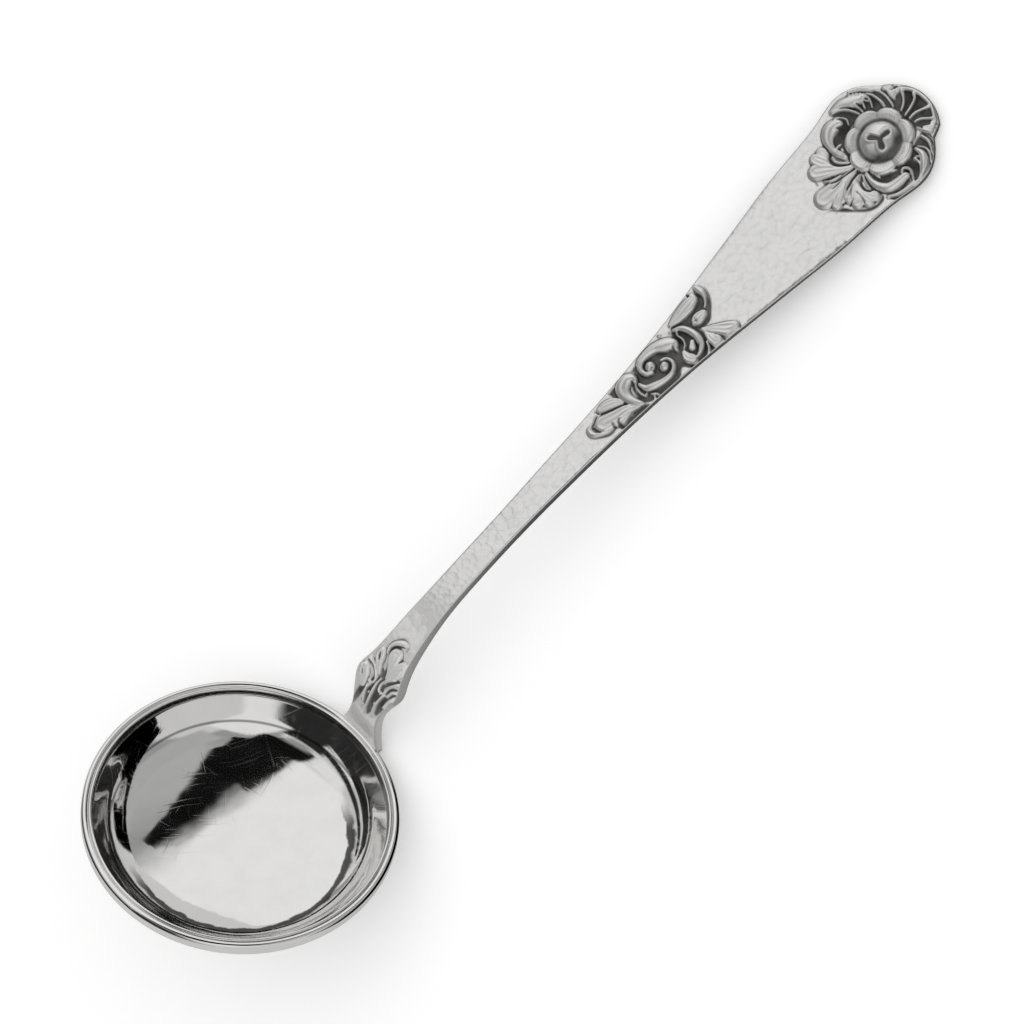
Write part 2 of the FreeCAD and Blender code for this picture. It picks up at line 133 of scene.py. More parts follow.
# The carving, in the order in which it is cut. Each stroke has a kind and the points of its
# middle line: distance along the handle, offset from its middle, half width and height, in mm.
# A ground has only the points of its outline, and beads also have their number.
END_CARVING = [
    ("ground", [(100.9, 2.9), (101.5, 4.2), (103.0, 4.7), (103.7, 5.2), (104.6, 6.0), (103.9, 6.9),
                (104.9, 6.6), (106.1, 5.0), (106.0, 4.2), (103.5, 3.6), (102.2, 2.9)]),
    ("ground", [(107.0, 4.3), (107.5, 5.0), (108.3, 5.2), (109.3, 5.4), (109.3, 2.7), (107.8, 2.8)]),
    ("ground", [(101.6, -3.2), (101.6, -4.4), (102.4, -5.5), (104.0, -5.5), (105.4, -5.2),
                (105.9, -6.4), (104.9, -7.9), (105.9, -7.8), (106.9, -6.6), (106.9, -5.3),
                (109.6, -6.3), (109.7, -3.9), (107.5, -4.3), (104.4, -4.3), (102.3, -3.1)]),
    ("ground", [(110.0, 2.6), (110.9, 4.3), (112.4, 2.9), (113.3, 1.4), (113.5, -0.5), (113.2, -2.6),
                (112.2, -3.9), (110.8, -3.6), (110.1, -3.0)]),
    ("ground", [(101.0, -6.6), (102.0, -7.9), (105.5, -8.7), (108.0, -8.4), (109.9, -7.0),
                (110.2, -4.0), (109.6, -4.0), (109.4, -6.4), (107.4, -8.0), (104.6, -8.2)]),
    ("ground", [(109.5, 5.3), (110.6, 4.3), (110.9, 2.2), (110.3, 1.2), (109.6, 2.4)]),
    # fan of leaf lobes on the left, from its ends to its root
    ("leaf", [(100.9, -0.6, 0.35, 0.4), (98.6, -0.7, 0.8, 0.55), (96.8, -0.6, 1.3, 0.62),
              (95.6, -0.45, 1.45, 0.55)]),
    ("leaf", [(100.8, 0.0, 0.3, 0.4), (99.4, 1.0, 0.65, 0.55), (98.3, 2.0, 1.0, 0.66),
              (97.3, 2.9, 1.15, 0.58)]),
    ("leaf", [(100.6, 0.6, 0.2, 0.35), (99.3, 2.0, 0.6, 0.55), (98.7, 3.3, 0.85, 0.66),
              (98.4, 4.2, 0.82, 0.58)]),
    ("leaf", [(99.2, 2.6, 0.5, 0.5), (99.4, 3.5, 0.75, 0.6), (99.55, 4.25, 0.78, 0.58)]),
    ("leaf", [(100.6, -1.0, 0.2, 0.4), (98.7, -1.25, 0.45, 0.55), (97.0, -1.8, 0.6, 0.62),
              (96.0, -2.35, 0.68, 0.55)]),
    ("leaf", [(98.2, -1.6, 0.3, 0.5), (96.95, -2.4, 0.45, 0.5)]),
    ("leaf", [(100.7, -1.5, 0.2, 0.35), (99.2, -2.0, 0.4, 0.5), (98.2, -2.6, 0.55, 0.6),
              (97.6, -3.1, 0.55, 0.55)]),
    ("leaf", [(99.8, -2.1, 0.2, 0.4), (98.9, -2.9, 0.5, 0.55), (98.2, -3.9, 0.8, 0.62),
              (98.0, -4.25, 0.75, 0.58)]),
    ("leaf", [(99.8, -2.4, 0.2, 0.4), (99.0, -4.0, 0.6, 0.6), (99.05, -5.2, 0.7, 0.58)]),
    ("leaf", [(100.2, -2.6, 0.2, 0.4), (99.7, -4.0, 0.5, 0.6), (100.1, -5.2, 0.72, 0.58)]),
    ("cut", [(100.9, 0.35, 0.15, 0.35), (99.95, 1.2, 0.22, 0.5), (99.55, 1.95, 0.26, 0.55),
             (99.6, 2.7, 0.22, 0.5), (100.2, 3.35, 0.14, 0.35)]),
    ("round", [(101.0, 0.6, 0.12, 0.35), (100.4, 1.2, 0.16, 0.4), (100.0, 1.9, 0.15, 0.4),
               (99.9, 2.6, 0.1, 0.35)]),
    ("cut", [(97.1, 1.45, 0.1, 0.15), (97.7, 1.0, 0.2, 0.45), (98.15, 0.75, 0.26, 0.55)]),
    ("round", [(97.1, 1.2, 0.12, 0.55), (97.6, 0.65, 0.15, 0.62), (98.3, 0.3, 0.16, 0.6),
               (99.1, 0.12, 0.13, 0.5)]),
    ("cut", [(97.5, 0.3, 0.12, 0.3), (98.2, -0.05, 0.16, 0.4), (99.4, -0.25, 0.18, 0.42),
             (100.9, -0.55, 0.22, 0.4)]),
    ("cut", [(97.1, -0.4, 0.12, 0.2), (98.0, -0.45, 0.13, 0.3), (98.7, -0.42, 0.1, 0.2)]),
    ("cut", [(98.2, -1.75, 0.16, 0.35), (98.75, -1.75, 0.16, 0.35), (99.6, -1.45, 0.18, 0.4),
             (101.0, -1.3, 0.25, 0.4)]),
    ("round", [(97.25, -2.9, 0.1, 0.6), (97.55, -2.25, 0.13, 0.66), (98.4, -1.6, 0.14, 0.62),
               (99.3, -1.15, 0.14, 0.55), (100.6, -0.95, 0.12, 0.45)]),
    ("cut", [(98.0, -2.75, 0.1, 0.2), (98.6, -2.3, 0.12, 0.3), (99.2, -1.95, 0.1, 0.25)]),
    ("cut", [(97.1, -3.65, 0.12, 0.35), (97.9, -3.5, 0.1, 0.3)]),
    ("cut", [(98.9, -3.1, 0.1, 0.2), (98.8, -4.3, 0.1, 0.22), (98.55, -5.0, 0.12, 0.35)]),
    ("cut", [(100.9, -2.0, 0.2, 0.4), (100.1, -2.6, 0.22, 0.5), (99.85, -3.5, 0.2, 0.5),
             (100.1, -4.25, 0.2, 0.5), (100.5, -4.4, 0.18, 0.45)]),
    ("round", [(101.0, -2.0, 0.12, 0.4), (100.6, -3.0, 0.15, 0.5), (100.38, -4.1, 0.13, 0.45)]),
    ("cut", [(101.1, -2.5, 0.14, 0.4), (100.75, -3.5, 0.13, 0.45), (100.6, -4.4, 0.14, 0.45)]),
    ("beads", [(98.95, 0.15, 0.13, 0.5), (100.8, -0.3, 0.13, 0.42)], 8),
    ("beads", [(99.0, -1.0, 0.13, 0.55), (100.8, -0.85, 0.13, 0.42)], 8),
    # two curled leaves above
    ("round", [(101.1, 1.5, 0.22, 0.4), (100.8, 2.7, 0.4, 0.5), (100.95, 4.0, 0.6, 0.62),
               (101.5, 5.1, 0.85, 0.72), (102.5, 5.7, 1.0, 0.78), (103.5, 5.55, 0.8, 0.78),
               (104.0, 5.15, 0.35, 0.7)]),
    ("cut", [(103.15, 5.1, 0.1, 0.4), (103.7, 4.6, 0.2, 0.6), (103.9, 4.1, 0.25, 0.6)]),
    ("cut", [(104.1, 6.0, 0.1, 0.3), (104.45, 5.3, 0.16, 0.6), (104.2, 4.4, 0.22, 0.6)]),
    ("round", [(103.9, 6.3, 0.1, 0.6), (104.55, 5.65, 0.13, 0.6), (104.85, 4.95, 0.14, 0.55),
               (104.55, 4.35, 0.12, 0.45)]),
    ("round", [(100.95, 2.75, 0.12, 0.55), (101.4, 3.15, 0.15, 0.6), (102.0, 3.15, 0.13, 0.5)]),
    ("round", [(101.15, 2.7, 0.2, 0.5), (101.3, 2.0, 0.2, 0.52), (101.45, 1.3, 0.14, 0.45)]),
    ("cut", [(101.95, 2.9, 0.12, 0.3), (101.75, 2.0, 0.15, 0.4), (101.4, 0.9, 0.15, 0.4)]),
    ("round", [(104.3, 7.2, 0.4, 0.45), (105.8, 6.95, 0.75, 0.66), (106.9, 6.2, 0.95, 0.74),
               (107.9, 5.6, 0.7, 0.72)]),
    ("round", [(104.1, 7.0, 0.15, 0.6), (105.1, 6.55, 0.18, 0.66), (105.8, 5.8, 0.2, 0.66),
               (106.2, 5.0, 0.2, 0.6), (106.5, 4.3, 0.15, 0.5)]),
    ("cut", [(105.2, 6.75, 0.1, 0.15), (106.0, 6.0, 0.14, 0.3), (106.6, 5.0, 0.17, 0.5),
             (106.75, 4.3, 0.15, 0.5)]),
    ("round", [(106.6, 6.0, 0.3, 0.6), (106.98, 5.1, 0.2, 0.62), (107.0, 4.2, 0.14, 0.5)]),
    ("cut", [(107.2, 5.5, 0.1, 0.3), (107.3, 4.8, 0.2, 0.6), (107.3, 4.3, 0.2, 0.6)]),
    ("round", [(107.3, 6.0, 0.4, 0.66), (107.78, 5.1, 0.22, 0.64), (107.5, 4.25, 0.13, 0.5)]),
    ("round", [(108.3, 5.8, 0.4, 0.66), (108.75, 5.0, 0.2, 0.64), (108.6, 4.3, 0.16, 0.55),
               (108.2, 3.6, 0.1, 0.45)]),
    ("round", [(108.25, 5.0, 0.15, 0.5), (108.45, 4.6, 0.15, 0.45)]),
    ("beads", [(107.3, 7.05, 0.24, 0.6), (108.1, 6.45, 0.24, 0.66), (108.65, 5.7, 0.24, 0.6)], 5),
    ("beads", [(107.6, 7.5, 0.2, 0.22), (108.9, 6.55, 0.22, 0.25), (109.8, 5.3, 0.2, 0.22)], 9),
    # ribs and leaves on the right, above and below
    ("round", [(109.0, 5.5, 0.15, 0.45), (109.35, 4.8, 0.2, 0.5), (109.5, 3.9, 0.22, 0.56),
               (109.5, 3.1, 0.27, 0.56), (109.4, 2.6, 0.25, 0.5)]),
    ("round", [(110.0, 5.2, 0.12, 0.3), (110.4, 4.2, 0.18, 0.36), (110.45, 3.2, 0.2, 0.4),
               (110.25, 2.0, 0.18, 0.4), (110.1, 1.6, 0.12, 0.3)]),
    ("leaf", [(110.95, 2.3, 0.25, 0.45), (111.25, 3.1, 0.5, 0.55), (111.5, 3.8, 0.6, 0.55),
              (111.2, 4.2, 0.45, 0.5)]),
    ("leaf", [(111.5, 2.6, 0.35, 0.45), (112.0, 2.8, 0.35, 0.5)]),
    ("cut", [(111.5, 3.35, 0.1, 0.3), (112.2, 3.3, 0.14, 0.4)]),
    ("cut", [(111.2, 2.15, 0.1, 0.3), (111.5, 2.3, 0.12, 0.35), (111.9, 2.6, 0.08, 0.2)]),
    ("leaf", [(110.8, -3.6, 0.3, 0.5), (111.2, -4.3, 0.6, 0.56), (111.6, -4.9, 0.62, 0.5)]),
    ("leaf", [(111.2, -5.2, 0.4, 0.45), (110.9, -5.9, 0.3, 0.4)]),
    ("leaf", [(111.9, -4.0, 0.4, 0.5), (112.4, -4.0, 0.3, 0.45)]),
    ("cut", [(111.7, -4.7, 0.1, 0.3), (112.3, -4.85, 0.14, 0.4)]),
    ("round", [(110.2, -2.8, 0.12, 0.4), (110.5, -3.8, 0.17, 0.46), (110.82, -4.7, 0.17, 0.46),
               (110.8, -5.6, 0.15, 0.4)]),
    # shell of grooves at the end
    ("round", [(112.4, 2.7, 0.3, 0.42), (113.3, 1.3, 0.32, 0.42), (113.6, -0.4, 0.32, 0.42),
               (113.4, -2.2, 0.32, 0.42), (112.6, -3.6, 0.3, 0.42)]),
    ("round", [(110.4, 0.4, 0.14, 0.45), (111.2, 0.8, 0.2, 0.5), (111.85, 1.45, 0.2, 0.52),
               (112.35, 2.3, 0.34, 0.5)]),
    ("round", [(110.3, -0.45, 0.14, 0.45), (111.5, -0.25, 0.2, 0.5), (112.6, 0.15, 0.2, 0.5),
               (113.1, 0.8, 0.3, 0.48)]),
    ("round", [(110.4, -1.2, 0.18, 0.45), (111.4, -1.25, 0.2, 0.5), (112.5, -1.7, 0.2, 0.5),
               (113.2, -2.0, 0.32, 0.48)]),
    ("round", [(110.5, -2.0, 0.14, 0.45), (111.3, -2.4, 0.2, 0.5), (112.0, -3.1, 0.2, 0.5),
               (112.4, -3.6, 0.3, 0.48)]),
    # two curled leaves below
    ("round", [(109.75, -4.1, 0.22, 0.5), (109.88, -5.2, 0.27, 0.6), (109.5, -6.4, 0.3, 0.6),
               (108.9, -7.4, 0.2, 0.5), (108.2, -8.0, 0.12, 0.4)]),
    ("round", [(108.45, -4.7, 0.12, 0.45), (108.95, -5.6, 0.17, 0.5), (108.9, -6.5, 0.2, 0.46),
               (108.2, -7.5, 0.12, 0.4)]),
    ("round", [(108.05, -4.8, 0.25, 0.6), (108.15, -5.9, 0.5, 0.72), (107.6, -6.9, 0.62, 0.76),
               (106.7, -7.7, 0.45, 0.66), (105.6, -8.3, 0.2, 0.45)]),
    ("round", [(107.05, -5.55, 0.15, 0.55), (107.05, -6.5, 0.17, 0.56), (106.5, -7.35, 0.17, 0.56),
               (105.6, -7.95, 0.17, 0.5), (104.6, -8.0, 0.17, 0.4)]),
    ("round", [(107.35, -5.5, 0.12, 0.5), (107.7, -5.95, 0.14, 0.5)]),
    ("round", [(101.45, -2.3, 0.3, 0.45), (101.25, -3.5, 0.42, 0.6), (101.45, -4.8, 0.6, 0.7),
               (102.2, -5.85, 0.7, 0.76), (103.4, -6.2, 0.65, 0.76), (104.5, -6.3, 0.55, 0.7),
               (105.0, -6.5, 0.38, 0.6)]),
    ("cut", [(104.3, -5.4, 0.14, 0.4), (104.35, -5.85, 0.1, 0.35)]),
    ("cut", [(105.1, -6.0, 0.12, 0.3), (105.2, -6.5, 0.14, 0.35), (105.0, -6.9, 0.1, 0.3)]),
    ("round", [(104.45, -6.0, 0.12, 0.55), (104.75, -5.6, 0.15, 0.62), (105.2, -5.45, 0.17, 0.62),
               (105.6, -6.0, 0.17, 0.62), (105.5, -6.7, 0.17, 0.56), (105.1, -7.3, 0.15, 0.5),
               (104.9, -7.8, 0.12, 0.4)]),
    ("cut", [(102.1, -6.85, 0.1, 0.3), (103.0, -7.15, 0.13, 0.4), (104.5, -7.05, 0.12, 0.35)]),
    ("round", [(101.2, -6.6, 0.2, 0.4), (102.3, -7.35, 0.24, 0.46), (103.6, -7.7, 0.3, 0.46),
               (104.7, -7.75, 0.3, 0.4)]),
    ("round", [(103.1, -4.1, 0.1, 0.35), (103.8, -4.6, 0.13, 0.4), (104.5, -4.85, 0.1, 0.35)]),
    ("round", [(102.1, -3.4, 0.15, 0.35), (102.25, -4.0, 0.12, 0.3)]),
    # a dark band along the foot of the leaves on the lower left
    ("stain", [(94.5, -1.95, 0.12, 0.5), (95.05, -2.3, 0.2, 0.8), (95.3, -2.7, 0.12, 0.8),
               (96.2, -3.5, 0.4, 1.0), (97.0, -4.6, 0.22, 0.9), (98.2, -5.8, 0.34, 1.0),
               (99.4, -6.35, 0.3, 1.0), (100.5, -6.25, 0.3, 1.0), (100.9, -5.8, 0.15, 0.9)]),
    ("stain", [(96.1, 1.5, 0.14, 0.8), (96.3, 2.1, 0.2, 0.8), (96.05, 2.9, 0.1, 0.5)]),
    ("stain", [(97.0, 4.15, 0.1, 0.4), (97.6, 4.2, 0.14, 0.7)]),
    ("stain", [(98.95, 4.7, 0.1, 0.8), (98.95, 5.15, 0.1, 0.7), (99.7, 5.15, 0.1, 0.7),
               (100.25, 4.8, 0.14, 0.7), (100.35, 4.2, 0.1, 0.6)]),
]

MIDDLE_CARVING = [
    ("ground", [(56.4, -1.4), (56.7, -2.6), (59.5, -2.9), (62.5, -3.0), (64.5, -3.2), (66.2, -3.3),
                (67.4, -2.4), (68.2, -3.4), (69.0, -4.0), (71.3, -4.1), (72.2, -3.9), (72.3, -0.6),
                (73.8, -0.7), (75.2, 0.2), (75.9, 1.2), (76.2, 2.6), (75.0, 3.2), (71.4, 2.1),
                (70.2, 2.5), (68.8, 0.9), (67.6, 0.3), (66.8, 1.4), (65.4, 1.6), (63.2, 2.4),
                (62.3, 1.0), (61.8, 0.3), (59.6, -1.9), (57.0, -1.9)]),
    ("ground", [(58.4, 2.3), (59.6, 2.4), (59.1, 0.8), (60.0, -1.9), (59.2, -1.0), (58.8, 0.3)]),
    ("round", [(53.9, 0.85, 0.22, 0.35), (53.4, 0.7, 0.35, 0.42), (53.35, -0.05, 0.42, 0.5),
               (53.95, -0.75, 0.28, 0.5), (54.9, -1.4, 0.17, 0.42), (55.8, -1.5, 0.12, 0.35)]),
    ("leaf", [(60.2, -1.9, 0.3, 0.45), (58.6, -1.1, 0.75, 0.62), (57.0, -0.75, 1.05, 0.72),
              (55.3, -0.15, 1.2, 0.66)]),
    ("leaf", [(57.4, -0.9, 0.4, 0.6), (56.45, -1.45, 0.38, 0.5)]),
    ("leaf", [(59.0, -1.35, 0.5, 0.58), (57.3, -1.85, 0.42, 0.5)]),
    ("cut", [(56.1, -1.05, 0.1, 0.35), (56.0, -1.6, 0.14, 0.45)]),
    ("cut", [(57.2, -1.2, 0.1, 0.25), (56.75, -1.6, 0.13, 0.45), (56.6, -2.2, 0.15, 0.4)]),
    ("cut", [(54.3, -0.6, 0.1, 0.2), (54.1, 0.1, 0.13, 0.35), (53.95, 0.75, 0.13, 0.4),
             (54.6, 1.05, 0.12, 0.35), (55.3, 1.4, 0.12, 0.3)]),
    ("leaf", [(58.9, 0.1, 0.3, 0.5), (58.2, 0.85, 0.7, 0.6), (57.2, 1.35, 0.72, 0.6),
              (56.35, 1.6, 0.48, 0.5)]),
    ("cut", [(56.0, 1.1, 0.12, 0.3), (56.5, 0.75, 0.15, 0.45), (57.4, 0.4, 0.1, 0.3),
             (58.6, -0.2, 0.08, 0.25)]),
    ("cut", [(55.6, 1.9, 0.1, 0.2), (55.75, 1.4, 0.12, 0.3)]),
    # upright curl
    ("round", [(60.6, -2.0, 0.35, 0.45), (60.05, -1.0, 0.6, 0.62), (59.8, 0.3, 0.78, 0.72),
               (60.2, 1.45, 0.98, 0.8), (61.3, 1.85, 0.88, 0.8), (62.0, 1.35, 0.62, 0.72),
               (62.0, 0.75, 0.28, 0.6)]),
    ("cut", [(61.7, 1.05, 0.16, 0.5), (61.3, 0.45, 0.2, 0.6), (61.0, -0.3, 0.16, 0.6),
             (61.0, -1.1, 0.14, 0.5), (61.3, -1.75, 0.14, 0.5)]),
    ("round", [(61.5, 0.0, 0.12, 0.45), (61.42, -0.9, 0.16, 0.5), (61.6, -1.65, 0.16, 0.5),
               (61.95, -1.5, 0.12, 0.5)]),
    # lower scroll
    ("round", [(62.1, 0.1, 0.25, 0.5), (62.35, -0.9, 0.5, 0.6), (63.2, -1.5, 0.6, 0.7),
               (64.5, -2.0, 0.5, 0.68), (65.8, -2.15, 0.4, 0.62), (66.75, -1.7, 0.32, 0.6),
               (67.15, -0.9, 0.3, 0.6), (66.85, -0.1, 0.26, 0.6), (66.2, 0.25, 0.22, 0.6)]),
    ("round", [(65.9, -0.75, 0.68, 0.85), (66.05, -0.65, 0.62, 0.85)]),
    ("cut", [(65.5, -1.3, 0.1, 0.2), (66.1, -1.5, 0.15, 0.4), (66.7, -1.1, 0.14, 0.4),
             (66.7, -0.3, 0.1, 0.3)]),
    ("cut", [(61.8, 0.3, 0.12, 0.3), (61.85, -0.6, 0.12, 0.45), (61.95, -1.3, 0.1, 0.4)]),
    ("round", [(60.9, -2.3, 0.12, 0.35), (61.5, -2.75, 0.14, 0.4), (62.1, -2.85, 0.14, 0.4),
               (62.5, -2.3, 0.14, 0.45), (62.3, -2.0, 0.12, 0.5)]),
    ("round", [(62.7, -2.3, 0.12, 0.4), (62.9, -2.7, 0.15, 0.4)]),
    ("cut", [(66.4, -2.2, 0.12, 0.2), (66.8, -2.2, 0.14, 0.3)]),
    # upper scroll
    ("round", [(64.3, -0.1, 0.28, 0.6), (63.65, 0.4, 0.36, 0.62), (63.55, 1.3, 0.42, 0.66),
               (64.1, 2.1, 0.55, 0.72), (65.3, 2.3, 0.62, 0.78), (66.7, 2.1, 0.78, 0.84),
               (67.9, 1.4, 0.98, 0.88), (68.7, 0.7, 0.85, 0.82), (68.6, -0.1, 0.35, 0.7),
               (68.6, -0.5, 0.15, 0.6)]),
    ("round", [(64.65, 0.65, 0.72, 0.85), (64.75, 0.75, 0.7, 0.85)]),
    ("cut", [(64.0, 1.25, 0.1, 0.3), (64.6, 1.6, 0.15, 0.45), (65.2, 1.5, 0.15, 0.45),
             (65.6, 1.1, 0.15, 0.5)]),
    ("cut", [(64.4, 0.3, 0.1, 0.35), (64.9, 0.32, 0.12, 0.4)]),
    ("cut", [(68.5, 0.4, 0.08, 0.4), (68.3, -0.1, 0.14, 0.55), (68.0, -0.5, 0.15, 0.6)]),
    ("beads", [(68.3, 2.95, 0.2, 0.3), (69.6, 2.1, 0.2, 0.35)], 4),
    # tall curl on the right of the scrolls
    ("leaf", [(69.0, -1.3, 0.35, 0.6), (68.95, -2.2, 0.75, 0.72), (69.2, -2.8, 0.66, 0.68)]),
    ("round", [(70.1, 1.95, 0.25, 0.5), (71.0, 1.3, 0.42, 0.66), (71.5, 0.2, 0.52, 0.78),
               (71.65, -1.0, 0.55, 0.78), (71.35, -2.1, 0.5, 0.7), (70.6, -2.8, 0.35, 0.6),
               (69.9, -3.0, 0.2, 0.5)]),
    ("round", [(70.35, 1.65, 0.17, 0.55), (69.98, 1.0, 0.15, 0.5), (70.1, 0.1, 0.15, 0.5),
               (69.8, -0.6, 0.15, 0.45), (69.3, -0.9, 0.12, 0.4)]),
    ("leaf", [(70.7, -1.1, 0.35, 0.66), (70.2, -1.65, 0.5, 0.68)]),
    ("cut", [(69.4, -1.3, 0.12, 0.4), (69.6, -2.0, 0.16, 0.5), (70.3, -2.4, 0.18, 0.5),
             (71.1, -2.0, 0.12, 0.35)]),
    ("cut", [(69.7, 1.9, 0.12, 0.3), (69.75, 1.2, 0.14, 0.4), (69.85, 0.4, 0.14, 0.4),
             (69.6, -0.3, 0.14, 0.4)]),
    ("round", [(70.9, -3.85, 0.12, 0.4), (71.6, -3.35, 0.16, 0.45), (72.0, -2.5, 0.16, 0.45)]),
    ("cut", [(71.9, 0.4, 0.1, 0.2), (72.2, -0.6, 0.14, 0.4), (72.3, -2.0, 0.14, 0.45),
             (72.1, -3.2, 0.15, 0.45)]),
    # leaves on the right
    ("leaf", [(70.3, 2.75, 0.3, 0.42), (71.8, 2.75, 0.8, 0.58), (73.4, 2.85, 0.95, 0.66),
              (74.6, 3.0, 0.7, 0.6)]),
    ("cut", [(74.55, 3.3, 0.1, 0.4), (74.5, 4.2, 0.16, 0.5)]),
    ("leaf", [(74.2, 2.9, 0.4, 0.6), (74.9, 3.5, 0.38, 0.5)]),
    ("round", [(76.0, 3.9, 0.36, 0.42), (76.1, 3.0, 0.42, 0.55), (75.95, 2.1, 0.28, 0.52),
               (75.45, 1.4, 0.17, 0.46), (75.0, 1.15, 0.12, 0.35)]),
    ("leaf", [(72.5, 0.45, 0.3, 0.5), (73.3, 0.6, 0.82, 0.68), (74.2, 0.6, 0.62, 0.62)]),
    ("cut", [(72.85, 0.7, 0.12, 0.25), (73.0, 0.5, 0.12, 0.25)]),
    ("leaf", [(72.9, -1.3, 0.35, 0.5), (72.85, -2.6, 0.72, 0.68), (72.95, -3.4, 0.85, 0.64)]),
    ("leaf", [(72.8, -0.9, 0.3, 0.5), (74.1, -2.3, 0.72, 0.66), (75.1, -3.4, 1.0, 0.68),
              (75.6, -3.7, 0.88, 0.6)]),
    ("cut", [(73.75, -3.5, 0.08, 0.3), (73.9, -4.3, 0.16, 0.5)]),
    ("cut", [(72.9, -1.6, 0.08, 0.15), (73.5, -2.8, 0.1, 0.2)]),
    ("cut", [(74.6, -2.4, 0.08, 0.1), (75.6, -3.3, 0.1, 0.15)]),
    ("stain", [(53.0, -0.4, 0.12, 0.7), (53.9, -1.15, 0.2, 1.0), (55.0, -1.75, 0.24, 1.0),
               (56.2, -1.75, 0.2, 0.9), (56.7, -2.5, 0.25, 1.0)]),
    ("stain", [(52.8, 0.7, 0.14, 0.3), (52.8, 0.0, 0.12, 0.4)]),
    ("stain", [(72.3, -0.1, 0.15, 0.8), (73.1, -0.55, 0.22, 0.9), (74.3, -0.55, 0.25, 0.9),
               (75.1, 0.2, 0.22, 0.8), (76.0, 1.1, 0.25, 0.8), (76.6, 2.2, 0.2, 0.8),
               (76.8, 3.2, 0.15, 0.6)]),
    ("stain", [(73.0, -0.9, 0.12, 0.6), (74.2, -2.05, 0.14, 0.7), (75.1, -2.75, 0.14, 0.6),
               (76.0, -2.9, 0.1, 0.3)]),
    ("stain", [(76.6, -3.3, 0.12, 0.7), (76.55, -4.0, 0.17, 0.9), (76.0, -4.8, 0.2, 0.9)]),
    ("stain", [(58.9, 2.2, 0.2, 0.15), (59.1, 1.3, 0.18, 0.4), (62.8, 2.2, 0.3, 0.6),
               (63.0, 1.4, 0.3, 0.8)]),
]

